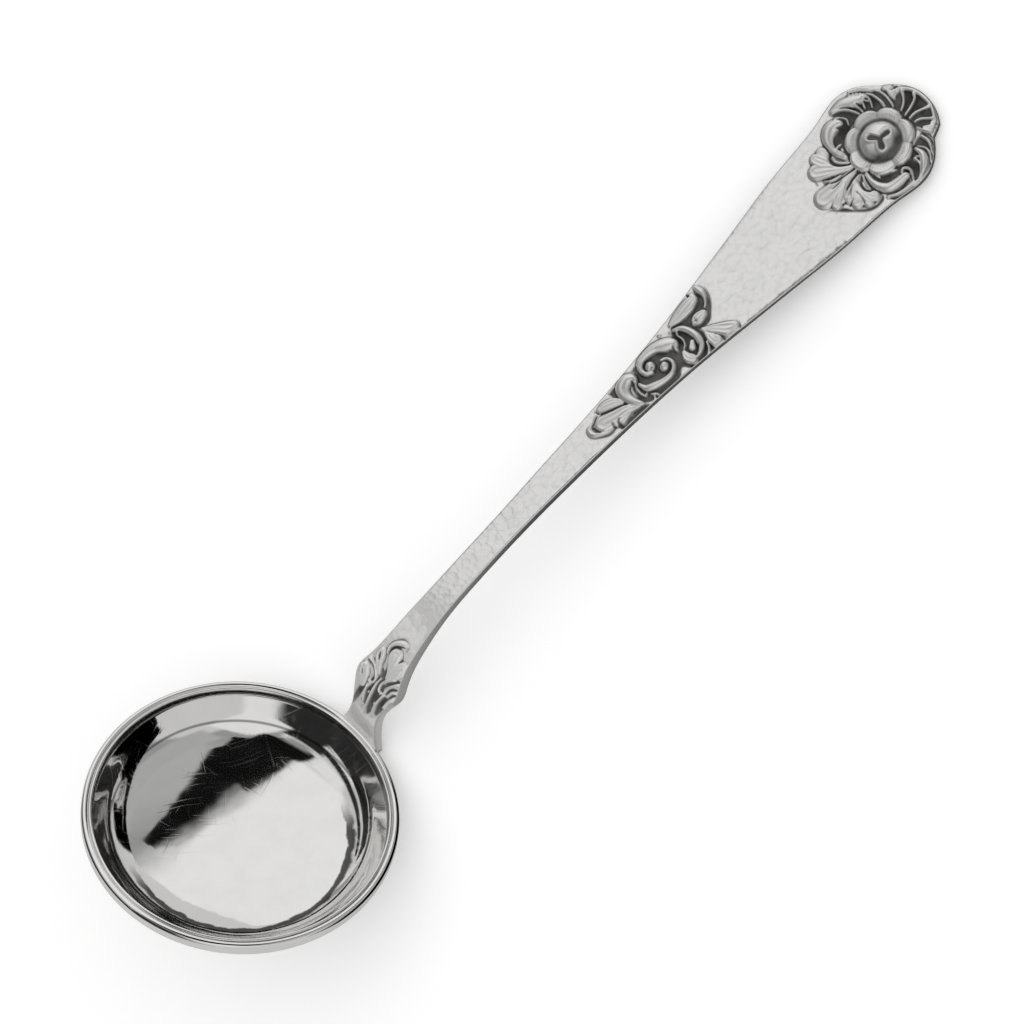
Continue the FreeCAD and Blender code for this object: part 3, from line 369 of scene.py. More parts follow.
BEND_CARVING = [
    ("ground", [(6.2, 1.1), (8.2, 1.0), (9.8, 0.4), (11.0, 0.1), (12.6, 0.3), (11.2, -0.9), (9.5, -1.6),
                (6.5, -1.3), (5.2, -0.8), (4.7, -0.35), (6.0, -0.1), (6.0, 0.8)]),
    ("ground", [(5.9, -1.6), (8.5, -1.6), (9.5, -2.0), (9.6, -2.8), (8.0, -2.8), (6.0, -2.1)]),
    ("round", [(4.6, 0.0, 0.1, 0.12), (6.0, -0.05, 0.16, 0.26), (8.0, -0.1, 0.2, 0.34),
               (10.0, -0.1, 0.18, 0.36), (11.2, -0.3, 0.1, 0.3)]),
    ("round", [(5.2, -1.3, 0.12, 0.12), (6.6, -1.3, 0.2, 0.26), (8.0, -1.5, 0.2, 0.36),
               (9.6, -1.85, 0.16, 0.4)]),
    ("round", [(5.2, 0.8, 0.14, 0.12), (6.4, 0.7, 0.2, 0.22), (7.6, 0.9, 0.2, 0.3),
               (9.0, 1.0, 0.14, 0.35)]),
    ("cut", [(4.4, 2.1, 0.1, 0.1), (6.0, 1.75, 0.28, 0.3), (7.8, 1.55, 0.38, 0.4), (8.4, 1.3, 0.2, 0.3)]),
    ("leaf", [(8.6, 1.7, 0.4, 0.4), (10.0, 2.2, 0.75, 0.55), (10.9, 2.5, 0.6, 0.55)]),
    ("round", [(9.8, 2.55, 0.1, 0.5), (10.3, 2.9, 0.14, 0.5), (10.8, 3.15, 0.12, 0.42)]),
    ("cut", [(9.9, 2.35, 0.1, 0.4), (10.4, 2.7, 0.1, 0.35)]),
    ("leaf", [(11.6, 0.3, 0.2, 0.42), (12.6, 1.05, 0.5, 0.58), (13.5, 1.45, 0.68, 0.6),
              (14.25, 1.6, 0.5, 0.5)]),
    ("cut", [(13.1, 1.3, 0.15, 0.3), (13.6, 1.6, 0.22, 0.4), (13.95, 1.75, 0.15, 0.3)]),
    ("cut", [(10.15, 0.75, 0.24, 0.55), (10.9, 0.85, 0.22, 0.5), (11.6, 1.6, 0.2, 0.5),
             (11.8, 2.8, 0.16, 0.45)]),
    ("round", [(9.85, 1.1, 0.12, 0.5), (9.8, 0.5, 0.16, 0.52), (10.6, 0.28, 0.16, 0.5),
               (11.4, 0.7, 0.16, 0.5), (12.1, 1.5, 0.16, 0.5), (12.4, 2.6, 0.14, 0.4)]),
    ("leaf", [(11.9, -1.1, 0.3, 0.45), (13.2, -1.7, 0.85, 0.62), (14.3, -2.0, 0.78, 0.62),
              (14.7, -2.1, 0.6, 0.55)]),
    ("leaf", [(12.0, -0.9, 0.3, 0.45), (13.6, -0.6, 0.75, 0.64), (14.9, -0.35, 0.98, 0.7),
              (15.3, -0.4, 0.8, 0.62)]),
    ("round", [(14.5, 0.9, 0.14, 0.42), (15.4, 1.1, 0.2, 0.52), (16.3, 0.7, 0.3, 0.58),
               (16.95, -0.1, 0.38, 0.62), (17.1, -0.65, 0.32, 0.52)]),
    ("cut", [(11.2, -0.75, 0.18, 0.4), (12.4, -0.4, 0.32, 0.55), (13.6, 0.05, 0.16, 0.4),
             (14.8, 0.62, 0.13, 0.4), (15.8, 0.42, 0.14, 0.4), (16.15, -0.2, 0.12, 0.3)]),
    ("cut", [(10.1, -1.15, 0.22, 0.5), (11.2, -1.6, 0.22, 0.5), (12.2, -2.4, 0.2, 0.5),
             (12.9, -3.1, 0.22, 0.45)]),
    ("round", [(9.7, -1.55, 0.12, 0.48), (9.8, -1.0, 0.16, 0.52), (10.7, -0.82, 0.16, 0.5),
               (11.6, -1.3, 0.17, 0.5), (12.5, -2.25, 0.18, 0.5)]),
    ("round", [(9.9, -1.82, 0.13, 0.48), (11.0, -2.02, 0.16, 0.5), (12.0, -2.6, 0.16, 0.5),
               (12.55, -3.1, 0.13, 0.42)]),
    ("cut", [(10.1, -2.15, 0.12, 0.35), (11.0, -2.45, 0.17, 0.45), (11.7, -3.3, 0.17, 0.45)]),
    ("round", [(9.9, -2.45, 0.14, 0.42), (10.8, -2.75, 0.16, 0.46), (11.35, -3.5, 0.14, 0.4)]),
    ("cut", [(9.8, -2.75, 0.1, 0.3), (10.6, -3.1, 0.15, 0.4), (11.0, -3.7, 0.14, 0.4)]),
    ("round", [(8.2, -2.7, 0.2, 0.3), (9.4, -3.0, 0.22, 0.4), (10.3, -3.5, 0.18, 0.42),
               (10.7, -3.85, 0.12, 0.35)]),
    ("beads", [(8.3, 0.35, 0.16, 0.32), (9.7, 0.55, 0.16, 0.4)], 5),
    ("beads", [(7.6, -1.15, 0.15, 0.3), (9.4, -1.35, 0.15, 0.38)], 6),
    ("stain", [(14.9, 1.6, 0.12, 0.6), (15.6, 1.35, 0.12, 0.6), (16.5, 1.05, 0.12, 0.6),
               (17.3, 0.35, 0.17, 0.9), (17.65, -0.2, 0.1, 0.8)]),
    ("stain", [(16.3, -1.15, 0.12, 0.8), (17.0, -1.2, 0.14, 0.9)]),
    ("stain", [(12.3, -3.3, 0.2, 0.9), (13.5, -2.95, 0.15, 0.9), (15.2, -2.8, 0.1, 0.8)]),
    ("stain", [(14.9, -1.4, 0.1, 0.7), (15.35, -1.7, 0.1, 0.6)]),
    ("stain", [(4.0, 2.3, 0.2, 0.5), (6.0, 2.1, 0.3, 0.9), (7.8, 1.9, 0.3, 0.9)]),
]


def at_rest(points):
    """Points of the bowl's frame in millimetres, as they lie at rest, in metres."""
    p = np.asarray(points, float).reshape(-1, 3)
    c, s = math.cos(REST_TILT), math.sin(REST_TILT)
    turned = np.column_stack([p[:, 0] * c + p[:, 2] * s, p[:, 1], p[:, 2] * c - p[:, 0] * s])
    return (turned + REST_SHIFT) / 1000


def spline(knots, values, first=None, last=None):
    """A smooth curve through values at their knots, as a function of the knot."""
    t, v = np.array(knots, float), np.array(values, float).reshape(len(knots), -1)
    h, n = np.diff(t), len(t)
    left, right = np.zeros((n, n)), np.zeros(v.shape)
    for i in range(1, n - 1):
        left[i, i - 1:i + 2] = 1 / h[i - 1], 2 / h[i - 1] + 2 / h[i], 1 / h[i]
        right[i] = 3 * ((v[i] - v[i - 1]) / h[i - 1] ** 2 + (v[i + 1] - v[i]) / h[i] ** 2)
    left[0, :2] = (1, 0) if first is not None else (2, 1)
    left[-1, -2:] = (0, 1) if last is not None else (1, 2)
    right[0] = first if first is not None else 3 * (v[1] - v[0]) / h[0]
    right[-1] = last if last is not None else 3 * (v[-1] - v[-2]) / h[-1]
    slope = np.linalg.solve(left, right)

    def curve(at):
        at = np.atleast_1d(np.asarray(at, float))
        i = np.clip(np.searchsorted(t, at) - 1, 0, n - 2)
        u = ((at - t[i]) / h[i])[:, None]
        k = h[i][:, None]
        return ((2 * u**3 - 3 * u**2 + 1) * v[i] + (u**3 - 2 * u**2 + u) * k * slope[i]
                + (3 * u**2 - 2 * u**3) * v[i + 1] + (u**3 - u**2) * k * slope[i + 1])

    return curve


def handle_line(fine_steps=1200, before=2, beyond=80):
    """Distance along the handle's face, with the point and the direction of its middle there."""
    p = np.array(SIDE_LINE)
    knots = np.concatenate([[0], np.cumsum(np.hypot(*np.diff(p, axis=0).T))])
    foot = np.array(FOOT_DIRECTION) / math.hypot(*FOOT_DIRECTION)
    blade = np.array((math.cos(BLADE_SLOPE), math.sin(BLADE_SLOPE)))
    fine = spline(knots, p, foot, blade)(np.linspace(0, knots[-1], fine_steps))
    run = np.concatenate([[0], np.cumsum(np.hypot(*np.diff(fine, axis=0).T))])
    fine = np.vstack([fine[0] - before * foot, fine, fine[-1] + beyond * blade])
    run = np.concatenate([[-before], run, [run[-1] + beyond]])
    way = np.gradient(fine, axis=0)
    way[0], way[1], way[-2:] = foot, foot, blade
    way /= np.linalg.norm(way, axis=1)[:, None]
    return run, fine, way


LINE_RUN, LINE_AT, LINE_WAY = handle_line()
HANDLE_WIDTH = spline([row[0] for row in HANDLE_SECTIONS], [row[1:] for row in HANDLE_SECTIONS])


def on_handle(s, y, h):
    """Places on the handle, in the bowl's frame: distance along it, offset and height."""
    x, z = (np.interp(s, LINE_RUN, LINE_AT[:, axis]) for axis in (0, 1))
    dx, dz = (np.interp(s, LINE_RUN, LINE_WAY[:, axis]) for axis in (0, 1))
    return np.stack([x - dz * h, y, z + dx * h], -1)


def smooth_path(points, steps=6):
    """Points of a smooth line through the given ones, with their widths and heights."""
    p = np.array(points, float)
    if len(p) < 3:
        return p
    before = np.vstack([2 * p[0] - p[1], p[:-1]])[:-1]
    after = np.vstack([p[2:], 2 * p[-1] - p[-2]])
    t = np.linspace(0, 1, steps, endpoint=False)[:, None, None]
    a, b = p[:-1], p[1:]
    line = 0.5 * (2 * a + (b - before) * t + (2 * before - 5 * a + 4 * b - after) * t**2
                  + (3 * a - before - 3 * b + after) * t**3)
    return np.vstack([line.transpose(1, 0, 2).reshape(-1, p.shape[1]), p[-1:]])


def along_stroke(s, y, points):
    """Distance from a stroke's middle line as a share of its half width, and its height there."""
    path = smooth_path(points)
    share = np.full(s.shape, 9.0)
    height = np.zeros(s.shape)
    for a, b in zip(path[:-1], path[1:]):
        step = b - a
        t = ((s - a[0]) * step[0] + (y - a[1]) * step[1]) / (step[0] ** 2 + step[1] ** 2 + 1e-9)
        t = np.clip(t, 0, 1)
        far = np.hypot(s - a[0] - t * step[0], y - a[1] - t * step[1])
        far /= np.maximum(a[2] + step[2] * t, 0.04)
        near = far < share
        share[near] = far[near]
        height[near] = (a[3] + step[3] * t)[near]
    return share, height


def inside(s, y, corners):
    """Which places lie inside a closed outline."""
    found = np.zeros(s.shape, bool)
    path = smooth_path(corners + corners[:1], 3)
    for (s0, y0), (s1, y1) in zip(path[:-1], path[1:]):
        if y0 != y1:
            found ^= ((y0 > y) != (y1 > y)) & (s < s0 + (s1 - s0) * (y - y0) / (y1 - y0))
    return found


def blurred(field, reach):
    """The field averaged over a square of the given reach, twice, in cells."""
    for axis in (0, 1, 0, 1):
        total = sum(np.roll(field, k, axis) for k in range(-reach, reach + 1))
        field = total / (2 * reach + 1)
    return field


def window(s, y, points):
    """The part of the map that a stroke can reach."""
    p = smooth_path(points)
    reach = p[:, 2].max() + 0.1
    rows = (s[:, 0] > p[:, 0].min() - reach) & (s[:, 0] < p[:, 0].max() + reach)
    columns = (y[0] > p[:, 1].min() - reach) & (y[0] < p[:, 1].max() + reach)
    return np.ix_(np.flatnonzero(rows), np.flatnonzero(columns))


def cut_stroke(s, y, height, dark, kind, points):
    """Work one stroke into the map of heights and the map of tarnish and painted shade.

    A round is a raised roll and a leaf is flatter, with veins. A cut is a groove that holds
    tarnish, and the last kind only darkens the colour, on ground that isn't raised.
    """
    part = window(s, y, points)
    share, tall = along_stroke(s[part], y[part], points)
    hit = share < 1
    here, tarnish_and_shade = height[part], dark[part]
    if kind == "round":
        new = tall * np.sqrt(np.clip(1 - share**2, 0, 1))
        over = hit & (new > here)
        here[over] = new[over]
        tarnish_and_shade[over] *= np.clip(share[over] * 2 - 1, 0, 1)
    elif kind == "leaf":
        vein = 0.5 - 0.5 * np.cos(share * 3 * math.pi)
        new = tall * np.sqrt(np.clip(1 - share**4, 0, 1)) * (0.8 + 0.2 * share**2 - 0.1 * vein)
        over = hit & (new > here)
        here[over] = new[over]
        tarnish_and_shade[over] = 0.2 * (vein * (share < 0.7))[over]
    elif kind == "cut":
        depth = np.where(hit, tall * np.clip(1 - share**2, 0, 1), 0)
        here -= depth
        tarnish_and_shade[:] = np.maximum(tarnish_and_shade, np.clip(depth * 2.6, 0, 1))
    elif kind == "stain":
        tarnish_and_shade[:] = np.maximum(tarnish_and_shade, np.where(hit & (here < 0.25), tall * (1 - share**2), 0))
    height[part], dark[part] = here, tarnish_and_shade


def cut_beads(s, y, height, dark, points, number):
    """A row of small round beads along a line."""
    path = smooth_path(points, 12)
    for k in range(number):
        at = path[round(k * (len(path) - 1) / (number - 1))]
        cut_stroke(s, y, height, dark, "round", [at, at + (0.01, 0, 0, 0)])


def carve_petals(s, y, height, dark):
    """The ring of dished petals, ridged towards the bud and darker between them."""
    ds, dy = s - ROSE_AT[0], y - ROSE_AT[1]
    r, angle = np.hypot(ds, dy), np.arctan2(dy, ds)
    turn = 2 * math.pi / ROSE_PETALS
    off = np.abs((angle - math.pi + turn / 2) % turn - turn / 2) / (turn / 2)
    edge = PETAL_REACH - PETAL_NOTCH * off**2.4
    out = np.clip(r / edge, 0, 1)
    # a petal rises outwards, sinks towards its neighbours, and has a fine line near its edge
    petal = 0.42 + 0.38 * np.clip((out - 0.5) / 0.4, 0, 1) ** 1.5
    petal -= 0.26 * off**3 + 0.06 * np.exp(-(((out - 0.86) / 0.03) ** 2))
    petal *= np.sqrt(np.clip(1 - out**14, 0, 1))
    ridges = 0.5 + 0.5 * np.cos(angle * PETAL_RIDGES)
    petal -= 0.12 * ridges * np.clip(1 - np.abs(r - 3.3) / 0.7, 0, 1)
    # dark beside the bud, between the ridges' ends and between the petals
    stain = 0.85 * np.clip((3.35 - r) / 0.4, 0, 1)
    stain = np.maximum(stain, 0.45 * np.clip(1 - np.abs(r - 3.55) / 0.5, 0, 1) * ridges)
    stain = np.maximum(stain, 0.5 * np.clip((off - 0.82) * 6, 0, 1) * (out > 0.55))
    on = r < edge
    height[on], dark[on] = petal[on], stain[on]


def carve_bud(s, y, height, dark):
    """The domed bud, with painted shade on its lower side, and a rimmed hollow of three lobes."""
    r, dy = np.hypot(s - ROSE_AT[0], y - ROSE_AT[1]), y - ROSE_AT[1]
    bud = r < BUD_REACH
    dome = BUD_TOP * np.clip(1 - (r / BUD_REACH) ** 2.6, 0, 1) ** 0.55
    height[bud] = np.maximum(height[bud], dome[bud])
    # painted shade: the lower side of the bud is darkened towards its edge
    shade = np.clip((r - 1.4) / 0.9, 0, 0.95) * np.clip(-1.4 * dy / np.maximum(r, 0.01), 0, 1)
    dark[bud] = np.maximum(shade, np.clip((r - 2.5) / 0.2, 0, 0.9))[bud]
    lobes = [[(*BUD_HEART, 0.26, 0.5), (*lobe, 0.4, 0.5)] for lobe in BUD_HOLLOW]
    share = np.minimum.reduce([along_stroke(s, y, lobe)[0] for lobe in lobes])
    height += 0.2 * np.exp(-(((share - 1.5) / 0.4) ** 2)) * (r < BUD_REACH * 0.8)
    np.maximum(dark, 0.4 * (share > 1.9) * (share < 2.4) * (r < 2.1), out=dark)
    hollow = share < 1
    height[hollow] = np.minimum(height[hollow], BUD_TOP - HOLLOW_DEPTH)
    dark[hollow] = 0.9


def carving_map(zone, carving, rose):
    """Heights, tarnish with painted shade, and worked places over one zone of the handle, on a fine grid.
    """
    start, end, reach = zone
    s = np.arange(start, end + CARVING_STEP, CARVING_STEP)
    y = np.arange(-reach, reach + CARVING_STEP, CARVING_STEP)
    s, y = np.meshgrid(s, y, indexing="ij")
    height, dark = np.zeros(s.shape), np.zeros(s.shape)
    for kind, points, *number in carving:
        if kind == "ground":
            on = inside(s, y, points)
            height[on], dark[on] = -GROUND_DEPTH, 1.0 if rose else 0.8
        elif kind == "beads":
            cut_beads(s, y, height, dark, points, *number)
        else:
            cut_stroke(s, y, height, dark, kind, points)
    if rose:
        carve_petals(s, y, height, dark)
        carve_bud(s, y, height, dark)
    height = blurred(np.maximum(height, -DEEPEST_CUT), 1)
    # tarnish gathers in the creases and is worn off the tops
    crease = np.clip((blurred(height, 5) - height - 0.03) * 8, 0, 0.92)
    worn = np.clip((height - blurred(height, 4)) * 4, 0, 1)
    dark = np.clip(np.maximum(blurred(dark, 2), crease) - 0.5 * worn, 0, 1)
    fade = np.clip((s - start) / ZONE_FADE, 0, 1)
    if not rose:
        fade = fade * np.clip((end - s) / ZONE_FADE, 0, 1)
    height, dark = height * fade, dark * fade
    worked = np.clip(blurred((np.abs(height) > 0.02).astype(float), 4) * 2, 0, 1)
    return height, dark, worked


def handle_rows():
    """Where the handle is divided along its length, and into how many columns there."""
    rows = [(s, n) for start, end, step, n in ROW_BANDS for s in np.arange(start, end - 1e-6, step)]
    last, columns = ROW_BANDS[-1][1], ROW_BANDS[-1][3]
    close = HANDLE_END - (HANDLE_END - last) * np.linspace(1, 0.1, CLOSING_ROWS) ** 2
    return rows + [(s, columns) for s in close]


def handle_edges(s):
    """Left edge, right edge and thickness of the handle at a distance along it."""
    if s > SHELL_START:
        shell = np.array(SHELL_EDGE)[::-1]
        near_end = np.sqrt(HANDLE_END - shell[:, 0])
        left, right = (np.interp(math.sqrt(HANDLE_END - s), near_end, shell[:, side]) for side in (1, 2))
        return left, right, np.interp(s, (SHELL_START, HANDLE_END), SHELL_SHEET)
    half, thick = HANDLE_WIDTH(s)[0]
    return half, -half, thick


def sampled(field, zone, s, y):
    """Values of a map of one zone at the given places, and zero outside it."""
    start, _, reach = zone
    i = (s - start) / CARVING_STEP
    j = (y + reach) / CARVING_STEP
    ok = (i >= 0) & (i < field.shape[0] - 1) & (j >= 0) & (j < field.shape[1] - 1)
    i, j = np.where(ok, i, 0), np.where(ok, j, 0)
    a, b = i.astype(int), j.astype(int)
    u, v = i - a, j - b
    value = (field[a, b] * (1 - u) * (1 - v) + field[a + 1, b] * u * (1 - v)
             + field[a, b + 1] * (1 - u) * v + field[a + 1, b + 1] * u * v)
    return np.where(ok, value, 0)


def stitched(low, high):
    """Triangles between two rows of points with different numbers of columns."""
    faces, i, j = [], 0, 0
    low_last, high_last = len(low) - 1, len(high) - 1
    while i < low_last or j < high_last:
        if j == high_last or (i < low_last and (i + 1) / low_last <= (j + 1) / high_last):
            faces.append((low[i], high[j], low[i + 1]))
            i += 1
        else:
            faces.append((low[i], high[j], high[j + 1]))
            j += 1
    return faces


def flank(edge, inward, rounding, thick):
    """The rounded side of the handle's section at one edge, from the face down to the back."""
    c = rounding * math.sin(math.radians(45))
    corner = edge + inward * (rounding - c)
    return [(corner, c - rounding), (edge, -rounding), (edge, rounding - thick),
            (corner, rounding - thick - c)]


def handle_mesh(maps):
    """Points, faces and stored values of the handle, in rows of points round its section."""
    spots, rows = [], []
    values = {"tarnish_and_shade": [], "carved": [], "side": []}
    for s, columns in handle_rows():
        left, right, thick = handle_edges(s)
        e = min(EDGE_ROUND, (left - right) / 5)
        y = np.linspace(right + e, left - e, columns + 1)
        along = np.full(y.shape, s)
        height, dark, worked = (
            sum(sampled(fields[kind], zone, along, y) for zone, fields in maps) for kind in (0, 1, 2))
        height *= np.clip((np.minimum(y - right, left - y) - e) / EDGE_FADE, 0.15, 1)
        back = [(yy, -thick) for yy in np.linspace(left - e, right + e, 7)]
        rest = flank(left, -1, e, thick) + back + flank(right, 1, e, thick)[::-1]
        first, turn = len(spots), len(spots) + len(y)
        spots += [(s, yy, h) for yy, h in list(zip(y, height)) + rest]
        values["tarnish_and_shade"] += list(dark) + [0.0] * len(rest)
        values["carved"] += list(worked) + [0.0] * len(rest)
        values["side"] += [0.0] * len(y) + [1.0] * len(rest)
        rows.append((list(range(first, turn)), list(range(turn, len(spots)))))
    faces = [tuple(rows[0][0] + rows[0][1])]
    for (top, rest), (next_top, next_rest) in zip(rows[:-1], rows[1:]):
        if len(top) == len(next_top):
            faces += list(zip(top[:-1], next_top[:-1], next_top[1:], top[1:]))
        else:
            faces += stitched(top, next_top)
        a, b = [top[-1]] + rest + [top[0]], [next_top[-1]] + next_rest + [next_top[0]]
        faces += list(zip(a[:-1], b[:-1], b[1:], a[1:]))
    faces.append(tuple(rows[-1][0] + rows[-1][1]))
    return np.array(spots), faces, values


def section(lip, collar_end, depth, floor, corner, slope):
    """Half of the bowl's section, from the axis to its collar: dished floor, round corner and side."""
    down = Vector((-math.sin(slope), -math.cos(slope)))
    start = Vector((lip, collar_end)) + Vector((-math.cos(slope), math.sin(slope))) * corner
    apart = start - Vector((0, floor - depth))
    near = apart.dot(down)
    centre = start + down * (math.sqrt(near**2 - apart.dot(apart) + (floor - corner) ** 2) - near)
    lean = math.atan2(centre.x, floor - depth - centre.y)
    points = [(floor * math.sin(a), floor - depth - floor * math.cos(a)) for a in np.linspace(0, lean, 40)]
    turns = np.linspace(lean, math.pi / 2 - slope, 30)[1:]
    points += [(centre.x + corner * math.sin(a), centre.y - corner * math.cos(a)) for a in turns]
    r, z = points[-1]
    points += [(r + (lip - r) * t, z + (collar_end - z) * t) for t in np.linspace(0, 1, 9)[1:]]
    return points


def half_circle(middle, level, radius, start, count):
    """Points of half a circle on a section, anticlockwise from an angle."""
    angles = np.linspace(start, start + math.pi, count)
    return [(middle + radius * math.cos(a), level + radius * math.sin(a)) for a in angles]


def start_clean():
    """Nothing selected, so that an operator acts on the new piece alone."""
    if bpy.context.mode != "OBJECT":
        bpy.ops.object.mode_set(mode="OBJECT")
    bpy.ops.object.select_all(action="DESELECT")


def finished_piece(name, material):
    """The selected object becomes a finished piece: its name, its finish and its place in the frame."""
    bpy.ops.object.shade_smooth()
    piece = bpy.context.object
    piece.name = piece.data.name = name
    piece.data.materials.clear()
    piece.data.materials.append(bpy.data.materials[material])
    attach(piece, "root")
    return piece


def spun(name, points, material, steps):
    """A closed ring or bowl, turned from a section that is drawn vertex by vertex."""
    start_clean()
    bpy.ops.mesh.primitive_plane_add(size=0.001, enter_editmode=True)
    bpy.ops.mesh.merge(type="CENTER")
    r, z = points[0]
    bpy.ops.transform.translate(value=(r, 0, z))
    for (r0, z0), (r1, z1) in zip(points[:-1], points[1:]):
        bpy.ops.mesh.extrude_region_move(TRANSFORM_OT_translate={"value": (r1 - r0, 0, z1 - z0)})
    bpy.ops.mesh.select_all(action="SELECT")
    bpy.ops.mesh.spin(steps=steps, angle=2 * math.pi, center=(0, 0, 0), axis=(0, 0, 1))
    bpy.ops.mesh.select_all(action="SELECT")
    bpy.ops.mesh.remove_doubles(threshold=WELD)
    bpy.ops.mesh.normals_make_consistent(inside=False)
    bpy.ops.object.mode_set(mode="OBJECT")
    mesh = bpy.context.object.data
    places = [value * 1000 for vertex in mesh.vertices for value in vertex.co]
    mesh.attributes.new("bowl_place", "FLOAT_VECTOR", "POINT").data.foreach_set("vector", places)
    mesh.transform(Matrix.Translation(Vector(REST_SHIFT) / 1000) @ Matrix.Rotation(REST_TILT, 4, "Y"))
    mesh.update()
    return finished_piece(name, material)


class LadleSizes(bpy.types.PropertyGroup):
    """Sizes of the bowl and its rim, in the bowl's own frame."""

    lip_radius: bpy.props.FloatProperty(
        name="Lip radius", description="Radius of the bowl's inside at its lip",
        default=0.0191, unit="LENGTH", subtype="DISTANCE")
    wall: bpy.props.FloatProperty(
        name="Wall", description="Thickness of the bowl's sheet at its lip",
        default=0.00045, unit="LENGTH", subtype="DISTANCE")
    side_slope: bpy.props.FloatProperty(
        name="Side slope", description="How far the bowl's side leans out from upright",
        default=math.radians(38), subtype="ANGLE")
    depth: bpy.props.FloatProperty(
        name="Depth", description="Depth of the bowl's inside under its rim",
        default=0.0073, unit="LENGTH", subtype="DISTANCE")
    corner: bpy.props.FloatProperty(
        name="Corner radius", description="Radius of the rounded corner between floor and side",
        default=0.0073, unit="LENGTH", subtype="DISTANCE")
    floor: bpy.props.FloatProperty(
        name="Floor radius", description="Radius to which the bowl's floor is dished",
        default=0.048, unit="LENGTH", subtype="DISTANCE")
    rim_radius: bpy.props.FloatProperty(
        name="Rim radius", description="Outer radius of the rim's wire",
        default=0.0205, unit="LENGTH", subtype="DISTANCE")
    rim_width: bpy.props.FloatProperty(
        name="Rim width", description="Width of the rim's wire",
        default=0.001, unit="LENGTH", subtype="DISTANCE")
    rim_height: bpy.props.FloatProperty(
        name="Rim height", description="Height of the rim's wire",
        default=0.00202, unit="LENGTH", subtype="DISTANCE")


class LadleFinish(bpy.types.PropertyGroup):
    """Colours and wear of the silver."""

    silver: bpy.props.FloatVectorProperty(
        name="Silver", description="Colour of the clean silver",
        default=(0.86, 0.855, 0.845), size=3, min=0, max=1, subtype="COLOR")
    # dark colour of the tarnish in the hollows, also used for painted shade on the bud, the handle's side
    # and the bowl
    tarnish_and_shade: bpy.props.FloatVectorProperty(
        name="Tarnish", description="Colour of the dark finish in the carving's hollows",
        default=(0.035, 0.033, 0.032), size=3, min=0, max=1, subtype="COLOR")
    scratches: bpy.props.FloatProperty(
        name="Scratches", description="How strong the fine scratches of use are",
        default=0.22, min=0, max=1, subtype="FACTOR")
    hammering: bpy.props.FloatProperty(
        name="Hammering", description="Depth of the hammer marks on the handle's face",
        default=0.00003, unit="LENGTH", subtype="DISTANCE")


class LADLE_OT_bowl(bpy.types.Operator):
    """Turn the bowl from its section, closed over a rounded lip"""

    bl_idname = "ladle.bowl"
    bl_label = "Bowl"

    def execute(self, context):
        sizes = context.scene.ladle_sizes
        lip, bead, slope = sizes.lip_radius, sizes.wall / 2, sizes.side_slope
        inner = section(lip, COLLAR_INSIDE, sizes.depth, sizes.floor, sizes.corner, slope)
        outer = section(lip + sizes.wall, COLLAR_OUTSIDE, sizes.depth + FLOOR_SHEET,
                        sizes.floor + FLOOR_SHEET, sizes.corner + CORNER_SHEET, slope)
        over = half_circle(lip + bead, BEAD_MIDDLE, bead, 0, 11)[::-1]
        points = inner + [(lip, BEAD_FOOT)] + over + outer[::-1]
        bowl = spun("raised_bowl", points, "scratched silver", BOWL_STEPS)
        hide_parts("bowl")
        return {"FINISHED"}


class LADLE_OT_rim(bpy.types.Operator):
    """Lay the long round-ended wire along the outside of the lip"""

    bl_idname = "ladle.rim"
    bl_label = "Rim wire"

    def execute(self, context):
        sizes = context.scene.ladle_sizes
        r = sizes.rim_width / 2
        middle = sizes.rim_radius - r
        points = half_circle(middle, RIM_TOP - r, r, 0, 17)
        points += half_circle(middle, RIM_TOP - sizes.rim_height + r, r, math.pi, 17)
        rim = spun("wire_rim", points + points[:1], "worn silver", RIM_STEPS)
        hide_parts("rim_wire")
        return {"FINISHED"}


class LADLE_OT_handle(bpy.types.Operator):
    """Carve the handle: its bent foot and blade, with leaves, scrolls and the rose in relief"""

    bl_idname = "ladle.handle"
    bl_label = "Carved handle"

    def execute(self, context):
        start_clean()
        maps = [(BEND_ZONE, carving_map(BEND_ZONE, BEND_CARVING, rose=False)),
                (MIDDLE_ZONE, carving_map(MIDDLE_ZONE, MIDDLE_CARVING, rose=False)),
                (END_ZONE, carving_map(END_ZONE, END_CARVING, rose=True))]
        spots, faces, values = handle_mesh(maps)
        mesh = bpy.data.meshes.new("carved_handle")
        mesh.from_pydata(at_rest(on_handle(*spots.T)).tolist(), [], faces)
        for name, stored in values.items():
            mesh.attributes.new(name, "FLOAT", "POINT").data.foreach_set("value", stored)
        face_place = mesh.attributes.new("face_place", "FLOAT_VECTOR", "POINT")
        face_place.data.foreach_set("vector", spots.ravel())
        handle = bpy.data.objects.new("carved_handle", mesh)
        context.scene.collection.objects.link(handle)
        context.view_layer.objects.active = handle
        handle.select_set(True)
        bpy.ops.object.mode_set(mode="EDIT")
        bpy.ops.mesh.select_all(action="SELECT")
        bpy.ops.mesh.normals_make_consistent(inside=False)
        bpy.ops.object.mode_set(mode="OBJECT")
        handle = finished_piece("carved_handle", "hammered silver")
        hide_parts("handle")
        return {"FINISHED"}


def group(name, inputs, outputs):
    """An empty shader node group with its sockets, and its input and output nodes."""
    tree = bpy.data.node_groups.new(name, "ShaderNodeTree")
    for label, kind, value in inputs:
        socket = tree.interface.new_socket(label, in_out="INPUT", socket_type="NodeSocket" + kind)
        if value is not None:
            socket.default_value = value
    for label, kind in outputs:
        tree.interface.new_socket(label, in_out="OUTPUT", socket_type="NodeSocket" + kind)
    return tree, tree.nodes.new("NodeGroupInput").outputs, tree.nodes.new("NodeGroupOutput").inputs


